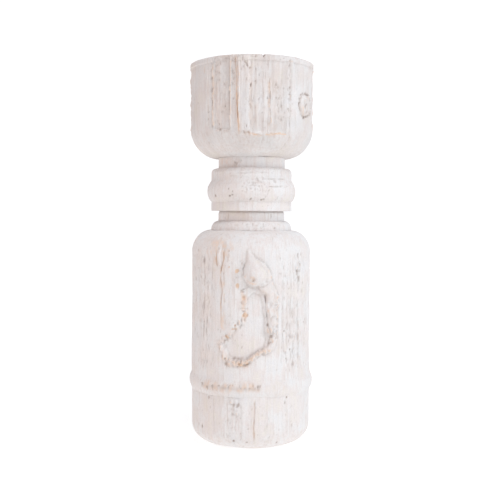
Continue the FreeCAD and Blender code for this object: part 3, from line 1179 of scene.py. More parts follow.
@dataclass
class Turned:
    """One turned section of the stack, which stands for the CAD node of the same shape."""

    node: str
    seed: int
    pitch: float = 1.2
    columns: int = 560
    crease: float = 38.0       # degrees between faces past which an edge stays sharp
    joinery: Joinery = field(default_factory=Joinery)

    def outline(self) -> Outline:
        """The section's half outline."""
        raise NotImplementedError

    def marks(self) -> list[Mark]:
        """What tools, weather and the tree left in its side."""
        raise NotImplementedError

    def build(self, finish: bpy.types.Material) -> Piece:
        """Spins, carves and dresses the section.

        Args:
            finish: its material.

        Returns:
            The finished piece, riding on the candlestick.
        """
        radius, _, _ = span(self.node)
        outline = self.outline()
        piece = spun("turned_" + self.node, outline, self.columns)
        side = Side(outline, self.columns, radius, self.seed)
        for mark in self.marks():
            mark.cut(side)
        side.settle()
        self.shape(piece, outline, side)
        bpy.ops.object.select_all(action="DESELECT")
        piece.select_set(True)
        bpy.context.view_layer.objects.active = piece
        bpy.ops.object.shade_smooth_by_angle(angle=math.radians(self.crease))
        piece.data.materials.clear()
        piece.data.materials.append(finish)
        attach(piece, "candlestick")
        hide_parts(self.node)
        log.info("%s: %d faces", piece.name, len(piece.data.polygons))
        return piece

    def shape(self, piece: Piece, outline: Outline, side: Side) -> None:
        """Moves the spun mesh to its carved side, and writes the side's attributes and map.

        Args:
            piece: the spun mesh.
            outline: the outline that it was spun from.
            side: its carved side.
        """
        mesh = piece.data
        count = len(mesh.vertices)
        place = np.zeros(count * 3, np.float32)
        mesh.vertices.foreach_get("co", place)
        place = place.reshape(-1, 3)
        ring = np.zeros(count, np.int32)
        mesh.attributes["ring"].data.foreach_get("value", ring)
        angle = np.arctan2(place[:, 1], place[:, 0])
        column = np.round(angle / math.tau * self.columns).astype(int) % self.columns
        outward = outline.outward()[ring]
        lift = side.lift[ring, column] * MM
        place[:, 0] += lift * outward[:, 0] * np.cos(angle)
        place[:, 1] += lift * outward[:, 0] * np.sin(angle)
        place[:, 2] += lift * outward[:, 1]
        mesh.vertices.foreach_set("co", place.ravel())
        for name, values in (("bare", side.bare), ("grime_and_shade", side.grime_and_shade)):
            layer = mesh.attributes.new(name, "FLOAT", "POINT")
            layer.data.foreach_set("value", values[ring, column].astype(np.float32))
        self.lay_flat(mesh, outline, ring, column)
        mesh.attributes.remove(mesh.attributes["ring"])
        mesh.update()

    def lay_flat(self, mesh: bpy.types.Mesh, outline: Outline, ring: Grid, column: Grid) -> None:
        """Lays the mesh out flat: its columns across the map and its outline up it.

        Args:
            mesh: the mesh to map.
            outline: the outline that the mesh was spun from.
            ring: the number of the outline point, for each vertex.
            column: the number of the column, for each vertex.
        """
        corners = np.zeros(len(mesh.loops), np.int32)
        mesh.loops.foreach_get("vertex_index", corners)
        starts = np.zeros(len(mesh.polygons), np.int32)
        mesh.polygons.foreach_get("loop_start", starts)
        sizes = np.diff(np.append(starts, len(corners)))
        runs = outline.runs()
        across = column[corners] / self.columns
        along = runs[ring[corners]] / runs[-1]
        for share in (across, along):
            wide = np.maximum.reduceat(share, starts) - np.minimum.reduceat(share, starts) > 0.5
            share[np.repeat(wide, sizes) & (share < 0.5)] += 1.0
        layer = mesh.uv_layers.new(name=MAP_NAME)
        layer.data.foreach_set("uv", np.stack([across, along], axis=1).astype(np.float32).ravel())


@dataclass
class Cup(Turned):
    """The cup: a hewn band above a smooth round bottom, and a well for the candle pan."""

    wall: float = 65.2
    rim_round: float = 4.0
    lip_height: float = 7.0
    bottom_rise: float = 32.5
    ledge: float = 1.2
    well: float = 48.0
    well_depth: float = 22.0
    well_round: float = 2.0
    nut_well_depth: float = 24.0

    def outline(self) -> Outline:
        """Underside, round bottom, wall, lip, rim, well, nut well, rod hole and mortise.

        Returns:
            The cup's half outline.
        """
        radius, bottom, top = span(self.node)
        neck = span("neck_spindle")[0]
        tenon_top = span("neck_spindle")[2] + self.joinery.tenon_gap
        floor = top - self.well_depth
        line = Outline((self.joinery.mortise, bottom), self.pitch)
        line.to(neck, bottom)
        line.to(neck + self.ledge, bottom, carved=True)
        line.quarter((self.wall, bottom), (self.wall, bottom + self.bottom_rise))
        line.to(self.wall, top - self.lip_height, carved=True)
        line.to(radius, top - self.lip_height + (radius - self.wall), carved=True)
        line.to(radius, top - self.rim_round, carved=True)
        line.quarter((radius, top), (radius - self.rim_round, top))
        line.to(self.well + self.well_round, top, carved=True)
        line.quarter((self.well, top), (self.well, top - self.well_round))
        line.to(self.well, floor, carved=True)
        line.to(self.joinery.nut_well, floor, carved=True)
        line.to(self.joinery.nut_well, floor - self.nut_well_depth)
        line.to(self.joinery.rod_hole, floor - self.nut_well_depth)
        line.to(self.joinery.rod_hole, tenon_top)
        line.to(self.joinery.mortise, tenon_top)
        return line

    def marks(self) -> list[Mark]:
        """The hewn band's boards, the long split, the knot, and small damage."""
        _, bottom, top = span(self.node)
        return [
            *self.front_boards(bottom, top),
            *self.far_boards(bottom, top),
            *self.long_split(bottom, top),
            *self.torn_edges(),
            *self.knot(),
            *self.nicks(bottom, top),
            *self.far_rim_of_knot(),
        ]

    def front_boards(self, bottom: float, top: float) -> list[Mark]:
        """The turned ground of the cup, the boards hewn on its front, and painted shade over the cup, deeper
        on its front boards and underside.

        Args:
            bottom: the section's lowest height, in mm.
            top: the section's highest height, in mm.

        Returns:
            The marks, in the order in which they are cut.
        """
        rim = top - 1.0
        band = Window(low=bottom + 20.0, high=rim, fade=4.0)
        return [
            Swell(30.0, 0.40),
            Swell(9.0, 0.18),
            LatheLines(1.6, 0.10, Window(high=bottom + 26.0)),
            Fibres(3.4, 60.0, 0.30, band, 0.15),
            # painted shade: even grey over the whole cup, more over most front boards and over the round
            # underside
            Veil(Window(-180.0, 180.0), 0.17),
            Veil(Window(-30.0, -12.6, bottom + 20.0, top + 9.0, 3.0), 0.27),
            Veil(Window(-3.0, 36.0, bottom + 20.0, top + 9.0, 4.0), 0.28),
            Veil(Window(-26.0, 34.0, bottom + 2.0, bottom + 24.0, 6.0), 0.25),
            Board(-43.8, -37.0, bottom + 27.5, rim, -0.55, 0.45),
            Board(-36.8, -19.5, bottom + 24.5, rim, -1.90, 1.20, bare=0.04),
            Board(-19.5, -14.0, bottom + 24.0, rim, -0.85, 0.70),
            Board(-12.6, -2.6, bottom + 22.5, rim, 0.75, 0.10, 0.4),
            Board(-2.6, 10.6, bottom + 21.5, rim, -1.00, 1.10, bare=0.05),
            Board(10.6, 15.0, bottom + 20.5, rim, -0.60, 0.60),
            Board(15.0, 36.8, bottom + 21.5, rim, -1.00, 1.10, bare=0.06),
            Board(36.8, 43.5, bottom + 22.5, rim, -0.20, 0.40),
        ]

    def long_split(self, bottom: float, top: float) -> list[Mark]:
        """Fine grain on the front, and the long split: grey and pink above, open to the raw wood below."""
        return [
            Fibres(2.2, 24.0, 1.15, self.front(bottom, top), 0.34),
            Torn(((-17.3, 398.0), (-16.2, 372.0)), 4.5, 0.9, 0.20, 0.45),
            Check(((-15.4, top), (-14.0, 380.0), (-13.5, 364.0)), 1.9, 1.2, 0.45, 0.30),
            Torn(((-14.0, 398.0), (-12.4, 380.0), (-12.6, 366.0)), 3.6, 0.5, 0.45, 0.10),
            Check(((-13.5, 370.0), (-13.6, 358.0), (-12.7, 348.0), (-12.1, 334.0), (-11.6, 322.0)),
                  1.9, 1.4, 0.75, 0.15, 0.4),
            Thin(((-12.6, 372.0), (-12.0, 348.0), (-10.8, 322.0)), 6.0, 0.32),
            Thin(((-32.0, 390.0), (-31.0, 330.0)), 14.0, 0.16),
            Thin(((-6.0, 322.5), (4.0, 320.0), (16.0, 321.0), (32.0, 322.0)), 5.0, 0.28),
            Board(-12.4, -10.8, 324.0, 396.0, 0.65, 0.1, 0.3, 0.6, 0.6),
            Board(-37.8, -35.6, 330.0, 392.0, 1.5, 0.2, 0.6, 0.8, 0.8),
            Board(-20.2, -18.2, 328.0, 394.0, 1.2, 0.2, 0.5, 0.7, 0.6),
            Board(15.6, 17.6, 332.0, 378.0, 1.3, 0.3, 0.6, 0.7, 0.6),
        ]

    def torn_edges(self) -> list[Mark]:
        """The torn edges of the boards, cracks between them, and the step at their bottom."""
        return [
            Torn(((-38.6, 394.0), (-38.4, 362.0), (-38.0, 336.0)), 4.5, 0.8, 0.15, 0.50),
            Torn(((-30.6, 397.0), (-31.0, 374.0)), 6.0, 0.9, 0.10, 0.60),
            Torn(((-25.0, 372.0), (-26.0, 340.0)), 10.0, 0.6, 0.15, 0.25),
            Torn(((-2.2, 386.0), (-1.8, 368.0)), 3.5, 0.8, 0.20, 0.50),
            Torn(((-1.6, 368.0), (-1.0, 331.0)), 5.5, 0.8, 0.36, 0.30),
            Torn(((15.4, 372.0), (15.0, 352.0), (15.6, 331.0)), 4.0, 0.6, 0.50, 0.15),
            Torn(((24.0, 374.0), (26.0, 340.0)), 14.0, 0.9, 0.15, 0.45),
            Torn(((35.4, 392.0), (36.2, 366.0), (35.2, 340.0)), 3.5, 0.6, 0.10, 0.55),
            Torn(((-31.5, 326.5), (-27.0, 324.5), (-19.5, 325.0)), 3.5, 0.7, 0.25, 0.60),
            Torn(((-9.5, 324.0), (-5.0, 323.0), (-1.5, 322.5)), 4.5, 0.9, 0.45, 0.55),
            Torn(((33.0, 324.0), (36.5, 320.0), (38.5, 315.0)), 4.5, 0.7, 0.20, 0.50),
            Torn(((41.0, 394.0), (45.0, 380.0), (43.0, 366.0)), 3.5, 0.6, 0.05, 0.30),
            Check(((-43.4, 396.0), (-43.4, 372.0), (-43.0, 330.0)), 1.5, 0.7, 0.15, 0.25),
            Check(((10.8, 397.0), (11.0, 385.0), (11.2, 372.0)), 1.4, 0.6, 0.05, 0.30),
            Check(((37.4, 395.0), (37.6, 372.0), (37.0, 350.0), (35.8, 328.0)), 1.4, 0.6, 0.05, 0.30),
            Check(((30.0, 396.0), (31.0, 372.0), (29.5, 345.0)), 1.4, 0.5, 0.0, 0.25, 1.0),
            Check(((20.5, 398.0), (21.0, 380.0)), 1.4, 0.5, 0.0, 0.20),
            Check(((10.0, 320.5), (9.4, 312.0)), 1.4, 0.5, 0.0, 0.35),
            Check(((36.9, 321.0), (35.6, 315.0), (32.6, 305.0)), 1.5, 0.5, 0.05, 0.35, 1.2),
            Check(((-4.0, 323.2), (2.0, 321.4), (8.0, 320.0), (12.0, 320.6)), 1.6, 0.9, 0.66, 0.10, 0.6),
            Check(((11.0, 320.4), (18.0, 321.2), (26.0, 322.2), (34.0, 322.0)), 1.6, 0.9, 0.66, 0.05, 0.4),
        ]

    def knot(self) -> list[Mark]:
        """The knot on the right, ringed by torn grain."""
        return [
            Knot((57.0, 352.5), 22.0, 24.0, 1.6, 1.8, 0.95),
            Torn(((46.5, 354.0), (49.0, 361.0), (54.5, 365.0), (63.0, 363.0)), 5.0, 1.4, 0.10, 0.55,
                 (1.5, 1.8)),
            Torn(((46.5, 352.0), (48.5, 345.0), (53.0, 340.5)), 4.4, 1.3, 0.12, 0.38, (1.5, 1.8)),
            Torn(((55.0, 357.0), (56.0, 348.0)), 10.0, 1.2, 0.10, 0.90, (2.2, 2.2)),
            Chip((54.0, 340.5), 3.6, 3.4, 1.7, 0.0, 1.0, 0.4),
        ]

    def nicks(self, bottom: float, top: float) -> list[Mark]:
        """Flakes off the rim and the boards, thinned paint, and scattered chips."""
        return [
            Chip((-5.4, 390.5), 2.6, 9.0, 1.1, 0.1, 0.45, 0.6, 24.0),
            Chip((-8.0, 395.0), 2.6, 4.0, 0.9, 0.1, 0.40, 0.6, -24.0),
            Chip((10.0, 399.0), 2.6, 3.4, 1.2, 0.1, 0.8, 0.3),
            Chip((-47.8, 387.0), 3.4, 10.0, 0.4, 0.30, 0.2),
            Chip((36.5, 394.5), 8.0, 4.0, 0.5, 0.30, 0.2),
            Chip((-58.1, 355.2), 1.8, 2.6, 0.5, 0.0, 0.7, 0.2),
            Chip((-43.4, 337.3), 2.0, 3.0, 0.7, 0.1, 0.6, 0.2),
            Chip((34.4, 366.8), 2.4, 4.0, 0.7, 0.0, 0.6, 0.3),
            Thin(((-36.0, 374.0), (-35.5, 340.0)), 7.0, 0.24),
            Thin(((0.0, 386.0), (2.0, 330.0)), 12.0, 0.20),
            Thin(((20.0, 390.0), (24.0, 330.0)), 16.0, 0.14),
            Chips(170, self.front(bottom, top), (1.3, 2.6), (1.6, 4.6), (0.4, 1.0), 0.0, 0.6),
            Chips(150, Window(60.0, 300.0, bottom + 22.0, top), (1.6, 4.0), (3.0, 9.0), (0.3, 0.9), 0.05),
            Chips(70, Window(-180.0, 180.0, bottom + 2.0, bottom + 24.0), (1.0, 2.2), (1.2, 3.0),
                  (0.2, 0.5), 0.0),
        ]

    def far_rim_of_knot(self) -> list[Mark]:
        """The far side of the knot, and the pink wood in it."""
        return [
            Torn(((66.0, 361.0), (70.0, 354.0), (68.0, 346.0), (56.0, 339.5)), 5.0, 1.3, 0.0, 0.6,
                 (1.5, 1.8)),
            Thin(((51.0, 349.0), (54.5, 343.5)), 9.0, 0.45),
        ]

    def front(self, bottom: float, top: float) -> Window:
        """The part of the hewn band that faces forwards."""
        return Window(-44.0, 40.0, bottom + 24.0, top + 5.0, 2.0)

    def far_boards(self, bottom: float, top: float) -> list[Mark]:
        """The boards of the hewn band round the sides and back, each with its own width, depth and end.

        Args:
            bottom: the section's lowest height, in mm.
            top: the section's highest height, in mm.

        Returns:
            The marks, in the order in which they are cut.
        """
        chance = np.random.default_rng(self.seed + 1)
        boards: list[Mark] = []
        turn = 72.0
        while turn < 278.0:
            width = chance.uniform(5.0, 15.0)
            end = chance.uniform(19.0, 29.0)
            lift = chance.uniform(-1.2, 0.2)
            boards.append(Board(turn, turn + width, bottom + end, top - 1.0, lift,
                                0.15 + 0.8 * abs(lift), bare=0.2 * chance.uniform()))
            boards.append(Torn(((turn, top - 4), (turn, bottom + 60), (turn, bottom + end)), 4.0,
                               0.7, 0.4 * chance.uniform(), 0.4))
            if chance.uniform() < 0.35:
                boards.append(Check(((turn, top - 2), (turn + 0.5, bottom + 60), (turn, bottom + end)),
                                    chance.uniform(1.5, 2.4), 1.1, chance.uniform(0, 0.8), 0.3))
            turn += width
        return boards


@dataclass
class Neck(Turned):
    """The neck spindle, plain between its tenons, which are bare wood."""

    chamfer: float = 1.5

    def outline(self) -> Outline:
        """Lower tenon, neck, upper tenon and rod hole.

        Returns:
            The neck spindle's half outline.
        """
        radius, bottom, top = span(self.node)
        ring_top = span("shoulder_ring")[2]
        neck_top = span("cup")[1]
        tenon, hole = self.joinery.tenon, self.joinery.rod_hole
        line = Outline((hole, bottom), self.pitch)
        line.to(tenon - self.chamfer, bottom)
        line.to(tenon, bottom + self.chamfer)
        line.to(tenon, ring_top)
        line.to(radius, ring_top)
        line.to(radius, neck_top, carved=True)
        line.to(tenon, neck_top)
        line.to(tenon, top - self.chamfer)
        line.to(tenon - self.chamfer, top)
        line.to(hole, top)
        return line

    def marks(self) -> list[Mark]:
        """Light grain, a stain under the cup, a torn flake, a groove with painted shade under the collar,
        and a few lines above the shoulder.

        Returns:
            The marks, in the order in which they are cut.
        """
        _, collar_bottom, collar_top = span("collar")
        upper = Window(low=collar_top - 4.0, fade=3.0)
        lower = Window(high=collar_bottom + 4.0, fade=3.0)
        return [
            Swell(14.0, 0.20),
            Fibres(3.6, 24.0, 0.10, upper, 0.04),
            Fibres(3.6, 16.0, 0.16, lower, 0.10),
            # painted shade: a dark groove where the collar overhangs the neck
            Quirk(244.6, 2.4, 1.1, 0.50),
            Thin(((-62.0, 300.0), (-62.0, 289.0)), 8.0, 0.30),
            Thin(((-45.0, 298.0), (-30.0, 291.0)), 12.0, 0.25),
            Thin(((-20.0, 242.0), (-4.0, 238.0)), 12.0, 0.18),
            Chip((-27.0, 293.6), 5.0, 6.0, 0.7, 0.0, 0.15, 0.8, 30.0),
            Chip((-19.5, 296.0), 3.4, 5.0, 0.6, 0.0, 0.15, 0.8, -30.0),
            Burl(((-31.0, 296.5), (-26.0, 290.5), (-20.0, 296.5)), (2.4, 2.4), (1.1, 1.1)),
            Check(((35.7, 243.0), (35.0, 237.0)), 1.5, 0.6, 0.0, 0.7),
            Check(((-50.0, 244.0), (-50.5, 236.0)), 1.5, 0.5, 0.0, 0.4),
            Check(((-42.0, 244.0), (-42.5, 236.0)), 1.5, 0.5, 0.1, 0.4),
            Chips(60, Window(-180.0, 180.0, 236.0, 301.0), (1.2, 2.6), (1.5, 4.0), (0.2, 0.5), 0.1),
        ]


@dataclass
class Collar(Turned):
    """The beaded collar, lathe-lined above its bead and pitted below."""

    band: float = 42.8
    bead_height: float = 23.0
    bead_lift: float = 9.0
    edge_round: float = 4.5

    def outline(self) -> Outline:
        """Underside, plain band, bead, upper band and rounded top edge.

        Returns:
            The collar's half outline.
        """
        radius, bottom, top = span(self.node)
        hole = span("neck_spindle")[0] + self.joinery.fit
        line = Outline((hole, bottom), self.pitch)
        line.to(self.band, bottom, carved=True)
        line.to(self.band, bottom + self.bead_lift, carved=True)
        line.bulge(radius - self.band, self.bead_height)
        line.to(self.band, top - self.edge_round, carved=True)
        line.quarter((self.band, top), (self.band - self.edge_round, top))
        line.to(hole, top, carved=True)
        return line

    def marks(self) -> list[Mark]:
        """Lathe lines, a row of pits along the bead, short scratches and worn patches."""
        _, bottom, top = span(self.node)
        return [
            Swell(20.0, 0.22),
            Swell(7.0, 0.10),
            LatheLines(1.9, 0.45, Window(low=bottom + 20.0, high=top)),
            LatheLines(2.6, 0.22),
            Check(((20.0, 277.8), (56.0, 278.2)), 1.6, 0.9, 0.0, 0.40, 0.3),
            Check(((20.0, 270.2), (56.0, 270.6)), 1.6, 0.9, 0.0, 0.40, 0.3),
            Check(((-24.0, 284.0), (34.0, 284.2)), 1.5, 0.6, 0.0, 0.25, 0.4),
            Check(((-4.0, 278.5), (6.0, 277.0), (14.0, 274.0)), 1.6, 0.7, 0.0, 0.3, 1.0),
            Torn(((-6.0, 272.0), (14.0, 271.0)), 14.0, 0.35, 0.0, 0.30, (1.7, 1.7)),
            Quirk(bottom + 9.6, 1.8, 0.45),
            Check(((-34.0, 281.5), (-20.0, 280.5)), 1.5, 0.3, 0.1, 0.3, 0.6),
            Check(((14.3, 268.5), (14.0, 263.5)), 1.3, 0.4, 0.0, 0.4),
            Check(((21.0, 266.5), (20.5, 261.5)), 1.3, 0.4, 0.0, 0.4),
            Check(((17.5, 262.0), (18.5, 258.5)), 1.3, 0.4, 0.0, 0.4),
            Check(((35.7, 260.5), (35.3, 255.5)), 1.4, 0.5, 0.0, 0.5),
            Check(((40.8, 258.5), (41.3, 254.5)), 1.4, 0.5, 0.0, 0.5),
            Chip((-28.8, 260.6), 2.8, 2.4, 0.9, 0.0, 1.0, 0.2),
            Chip((-25.0, 261.6), 3.4, 1.8, 0.7, 0.0, 0.8, 0.2),
            Chip((-30.0, 268.0), 2.2, 2.6, 0.6, 0.0, 0.7, 0.2),
            Chip((-24.5, 265.0), 2.2, 2.2, 0.5, 0.0, 0.6, 0.2),
            Chip((-53.9, 260.8), 3.6, 3.4, 0.8, 0.0, 0.9, 0.2),
            Chip((-1.0, 257.3), 4.0, 2.2, 0.7, 0.0, 0.8, 0.2, 40.0),
            Chip((13.0, 256.5), 3.4, 2.0, 0.7, 0.0, 0.9, 0.2),
            Chip((16.0, 257.0), 3.6, 1.8, 0.6, 0.0, 0.7, 0.2),
            Chip((32.5, 275.6), 5.0, 4.6, 0.35, 0.0, 0.35, 0.6),
            Thin(((-12.0, 263.0), (2.0, 260.0)), 14.0, 0.12),
            Thin(((-36.0, 281.0), (-22.0, 280.0)), 9.0, 0.12),
            Chips(110, Window(-12.0, 24.0, 264.0, 280.0), (1.2, 3.0), (1.2, 2.8), (0.2, 0.6), 0.0),
            Chips(260, Window(-180.0, 180.0, bottom, top), (1.0, 2.4), (1.0, 2.4), (0.12, 0.5), 0.0),
        ]


@dataclass
class ShoulderRing(Turned):
    """The stepped ring between the body's shoulder and the neck."""

    edge_round: float = 8.4

    def outline(self) -> Outline:
        """Underside, edge, rounded top and hole.

        Returns:
            The shoulder ring's half outline.
        """
        radius, bottom, top = span(self.node)
        neck = span("neck_spindle")[0]
        line = Outline((self.joinery.mortise, bottom), self.pitch)
        line.to(radius, bottom)
        line.to(radius, top - self.edge_round, carved=True)
        line.quarter((radius, top), (radius - self.edge_round, top))
        line.to(neck, top, carved=True)
        line.to(self.joinery.mortise, top)
        return line

    def marks(self) -> list[Mark]:
        """A soft line below the edge, faint grain and small nicks."""
        _, bottom, top = span(self.node)
        return [
            Swell(16.0, 0.22),
            Swell(6.0, 0.12),
            LatheLines(2.0, 0.14),
            Chips(40, Window(-12.0, 18.0, bottom, top - 3), (1.4, 3.2), (1.2, 3.0), (0.2, 0.6), 0.0),
            Chip((34.0, 227.0), 3.0, 3.4, 0.5, 0.0, 0.6, 0.5),
            Chip((-22.0, 231.0), 7.0, 3.0, 0.4, 0.0, 0.2, 0.6),
            Chips(90, Window(-180.0, 180.0, bottom, top), (1.0, 2.6), (1.0, 2.6), (0.12, 0.4), 0.01),
        ]


@dataclass
class Body(Turned):
    """The body: a weathered trunk with a branch stub and a healed scar, a round shoulder and a bead."""

    wall: float = 63.2
    bead_height: float = 17.0
    quirk: float = 0.6
    shoulder_rise: float = 24.5
    shoulder_ledge: float = 0.5

    def outline(self) -> Outline:
        """Underside, bead, trunk, shoulder, mortise and rod hole.

        Returns:
            The body's half outline.
        """
        radius, bottom, top = span(self.node)
        ring = span("shoulder_ring")[0]
        mortise_floor = span("neck_spindle")[1] - self.joinery.tenon_gap
        line = Outline((self.joinery.rod_hole, bottom), self.pitch)
        line.to(self.wall - 1.0, bottom)
        line.to(self.wall, bottom, carved=True)
        line.to(self.wall, bottom + self.quirk, carved=True)
        line.bulge(radius - self.wall, self.bead_height)
        line.to(self.wall, top - self.shoulder_rise, carved=True)
        line.quarter((self.wall, top), (ring + self.shoulder_ledge, top))
        line.to(ring, top, carved=True)
        line.to(self.joinery.mortise, top)
        line.to(self.joinery.mortise, mortise_floor)
        line.to(self.joinery.rod_hole, mortise_floor)
        return line

    def marks(self) -> list[Mark]:
        """Weathered grain, the branch stub, the healed scar round a bald field, and splits."""
        return [
            *self.grain(),
            *self.scar(),
            *self.branch_stub(),
            *self.forked_split(),
            *self.flaked_paint(),
            *self.nicks(),
            *self.bead(),
            *self.far_side(),
        ]

    def grain(self) -> list[Mark]:
        """Weathered grain, deep at the sides with painted shade in its grooves on the left, torn strips and
        low ridges.

        Returns:
            The marks, in the order in which they are cut.
        """
        trunk = Window(low=82.0, high=206.0, fade=10.0)
        left = Window(-95.0, -33.0, 84.0, 206.0, 9.0)
        right = Window(27.0, 100.0, 78.0, 204.0, 8.0)
        back = Window(80.0, 285.0, 82.0, 206.0, 12.0)
        return [
            Swell(34.0, 0.45),
            Swell(10.0, 0.20),
            LatheLines(2.2, 0.12, Window(low=200.0)),
            Fibres(3.4, 70.0, 0.55, trunk, 0.12),
            # the left grooves darken more than the right: dust, and painted shade where the light leaves
            # their relief flat
            Fibres(4.2, 36.0, 2.20, left, 0.55),
            Fibres(2.4, 18.0, 1.10, left, 0.45),
            Fibres(4.4, 34.0, 2.50, right, 0.25),
            Fibres(2.4, 16.0, 1.40, right, 0.28),
            Fibres(3.8, 40.0, 1.10, back, 0.28),
            Torn(((-49.0, 202.0), (-53.0, 176.0)), 16.0, 0.8, 0.10, 0.45, (1.6, 4.0)),
            Torn(((-48.0, 165.0), (-50.0, 95.0)), 26.0, 0.7, 0.10, 0.35, (1.6, 5.0)),
            Torn(((50.0, 200.0), (48.0, 176.0)), 16.0, 0.9, 0.0, 0.42, (1.6, 3.4)),
            Torn(((40.0, 140.0), (44.0, 90.0)), 20.0, 0.7, 0.0, 0.30, (1.6, 4.0)),
            Board(-25.8, -12.5, 128.0, 196.0, 0.60, 0.35, 1.2, 2.2, 6.0),
            Board(-26.0, -20.0, 84.0, 96.0, 0.2, 0.2, 0.8),
            Burl(((-52.0, 195.0), (-51.0, 150.0), (-52.0, 100.0)), (5.0, 4.0), (0.7, 0.5), 0.3),
            Burl(((33.0, 176.0), (32.0, 140.0), (33.5, 104.0)), (6.0, 4.0), (0.8, 0.3), 0.3),
            Burl(((52.0, 190.0), (51.5, 150.0), (53.0, 96.0)), (5.0, 5.0), (0.7, 0.5), 0.3),
        ]

    def scar(self) -> list[Mark]:
        """The bald field, and the healed seam down its right side and round its bottom, with painted shadow
        in the crevice along the seam's left.

        Returns:
            The marks, in the order in which they are cut.
        """
        field_edge: Path = ((-5.5, 158.0), (-5.0, 142.0), (-12.5, 129.0), (-22.0, 119.0), (-26.0, 109.0),
                            (-22.0, 98.0), (-15.0, 92.5), (-3.0, 94.5), (6.0, 101.0), (13.5, 105.0),
                            (15.5, 116.0), (14.5, 134.0), (13.0, 150.0), (9.5, 163.0), (1.0, 166.0))
        bark_edge: Path = ((13.0, 103.5), (7.0, 101.5), (2.5, 98.0), (-3.0, 94.0), (-12.0, 91.5),
                           (-20.0, 93.0), (-24.5, 99.0), (-28.0, 108.0))
        return [
            Hollow(field_edge, 2.2),
            Burl(((12.5, 172.0), (19.0, 163.0), (20.5, 150.0), (20.5, 138.0), (20.0, 124.0)), (15.0, 11.5),
                 (4.2, 3.8), 1.0, 1.6),
            Burl(((20.0, 128.0), (20.5, 116.0), (18.5, 107.0), (13.0, 103.0)), (12.0, 6.0), (4.2, 2.0),
                 1.0, 1.4),
            Burl(bark_edge[:6], (5.0, 5.5), (1.9, 1.8), 0.9, 1.2),
            Burl(bark_edge[5:], (5.0, 4.5), (1.7, 1.2), 0.9, 1.2),
            Torn(((20.0, 160.0), (21.0, 146.0), (21.0, 130.0), (20.5, 116.0)), 12.0, 1.0, 0.22, 0.32,
                 (2.0, 2.4)),
            Torn(((24.0, 150.0), (24.5, 136.0), (22.0, 124.0)), 5.0, 0.8, 0.35, 0.20),
            Torn(((17.5, 112.0), (13.0, 105.0), (8.0, 102.0)), 5.0, 0.9, 0.25, 0.55),
            Thin(bark_edge, 9.0, 0.12),
            Torn(bark_edge, 10.0, 1.5, 0.24, 0.50),
            # the crevice along the seam's left: dust, and painted shadow beside the raised seam
            Check(((11.0, 165.5), (13.3, 158.0), (14.4, 150.0), (14.8, 140.0), (15.4, 131.0)), 1.8, 1.4,
                  0.0, 0.35, 0.8),
            Check(((15.4, 132.0), (17.4, 122.0), (16.4, 113.0), (13.4, 106.5)), 1.8, 1.5, 0.0, 0.55, 0.8),
            Chip((15.4, 131.5), 2.6, 5.0, 1.2, 0.0, 0.9, 0.5),
            Chip((18.2, 119.5), 2.6, 4.0, 1.2, 0.0, 0.9, 0.5),
        ]

    def branch_stub(self) -> list[Mark]:
        """The branch stub: a pear-shaped knob with a small heart, and painted shadow down its left edge."""
        return [
            Burl(((-2.5, 205.0), (0.2, 196.0), (4.4, 182.5)), (4.0, 28.0), (1.0, 8.6), 0.25, 0.9, 0.72),
            Burl(((9.5, 190.0), (13.5, 184.0), (14.5, 178.0)), (8.0, 11.0), (4.6, 5.6), 0.2, 0.9, 0.7),
            # the crease down the knob's left edge: painted shadow on the side away from the light, with dust
            # in the crease
            Check(((-5.4, 194.0), (-7.5, 187.0), (-7.0, 179.0)), 1.8, 1.5, 0.0, 0.50, 0.4),
            Torn(((-9.0, 194.0), (-9.0, 186.0), (-7.5, 178.0)), 4.0, 1.0, 0.10, 0.60),
            Check(((-4.5, 170.5), (3.0, 167.2), (9.0, 168.0)), 1.6, 0.9, 0.0, 0.12, 0.4),
            Check(((6.0, 194.5), (11.0, 187.5), (14.0, 183.0)), 1.4, 0.8, 0.0, 0.20, 0.8),
            Check(((16.5, 173.5), (12.5, 170.5), (8.0, 169.5)), 1.5, 0.9, 0.05, 0.30, 0.6),
            Chip((2.0, 176.8), 5.0, 5.0, 0.9, 0.40, 0.2, 0.3),
            Chip((1.9, 175.6), 1.8, 2.0, 0.8, 0.0, 0.9, 0.2),
            Torn(((0.5, 179.0), (3.0, 177.5)), 3.6, 0.5, 0.5, 0.2),
        ]

    def forked_split(self) -> list[Mark]:
        """The forked split, open to the raw wood, and the paint rubbed thin round it."""
        return [
            Burl(((-31.0, 203.0), (-30.4, 191.0)), (5.0, 3.4), (2.0, 1.4), 0.2, 0.4),
            Check(((-33.6, 204.0), (-34.2, 197.0), (-33.0, 188.5)), 1.5, 1.3, 0.62, 0.30, 0.4),
            Check(((-26.0, 205.0), (-25.8, 196.0), (-28.0, 189.0), (-29.4, 182.3)), 1.7, 1.5, 0.62, 0.50,
                  0.4),
            Check(((-29.4, 183.0), (-28.6, 174.0), (-27.2, 165.0), (-28.2, 157.0), (-29.0, 146.0),
                   (-28.4, 129.0)), 1.5, 0.9, 0.52, 0.15, 0.7),
            Thin(((-40.0, 208.0), (-30.0, 210.0), (-22.0, 206.0)), 26.0, 0.38),
            Thin(((-36.0, 200.0), (-36.5, 186.0)), 9.0, 0.36),
            Thin(((-27.0, 204.0), (-26.5, 194.0), (-28.0, 178.0), (-26.6, 160.0), (-27.0, 128.0)), 8.0,
                 0.38),
            Thin(((-55.0, 200.0), (-50.0, 150.0), (-52.0, 100.0)), 18.0, 0.14),
            Worn((-29.0, 210.0), 20.0, 9.0, 0.45, 0.1, 2.4),
            Burl(((-26.4, 189.0), (-27.6, 178.0), (-26.0, 165.0), (-27.0, 150.0)), (2.4, 2.4),
                 (0.7, 0.6), 0.1, 0.4),
            Torn(((-35.0, 206.0), (-21.0, 205.0)), 6.0, 0.5, 0.40, 0.3),
            Torn(((-21.0, 203.0), (-20.5, 196.0)), 4.0, 0.7, 0.30, 0.5),
            Torn(((-60.0, 203.0), (-54.0, 202.0)), 4.0, 0.5, 0.30, 0.5),
        ]

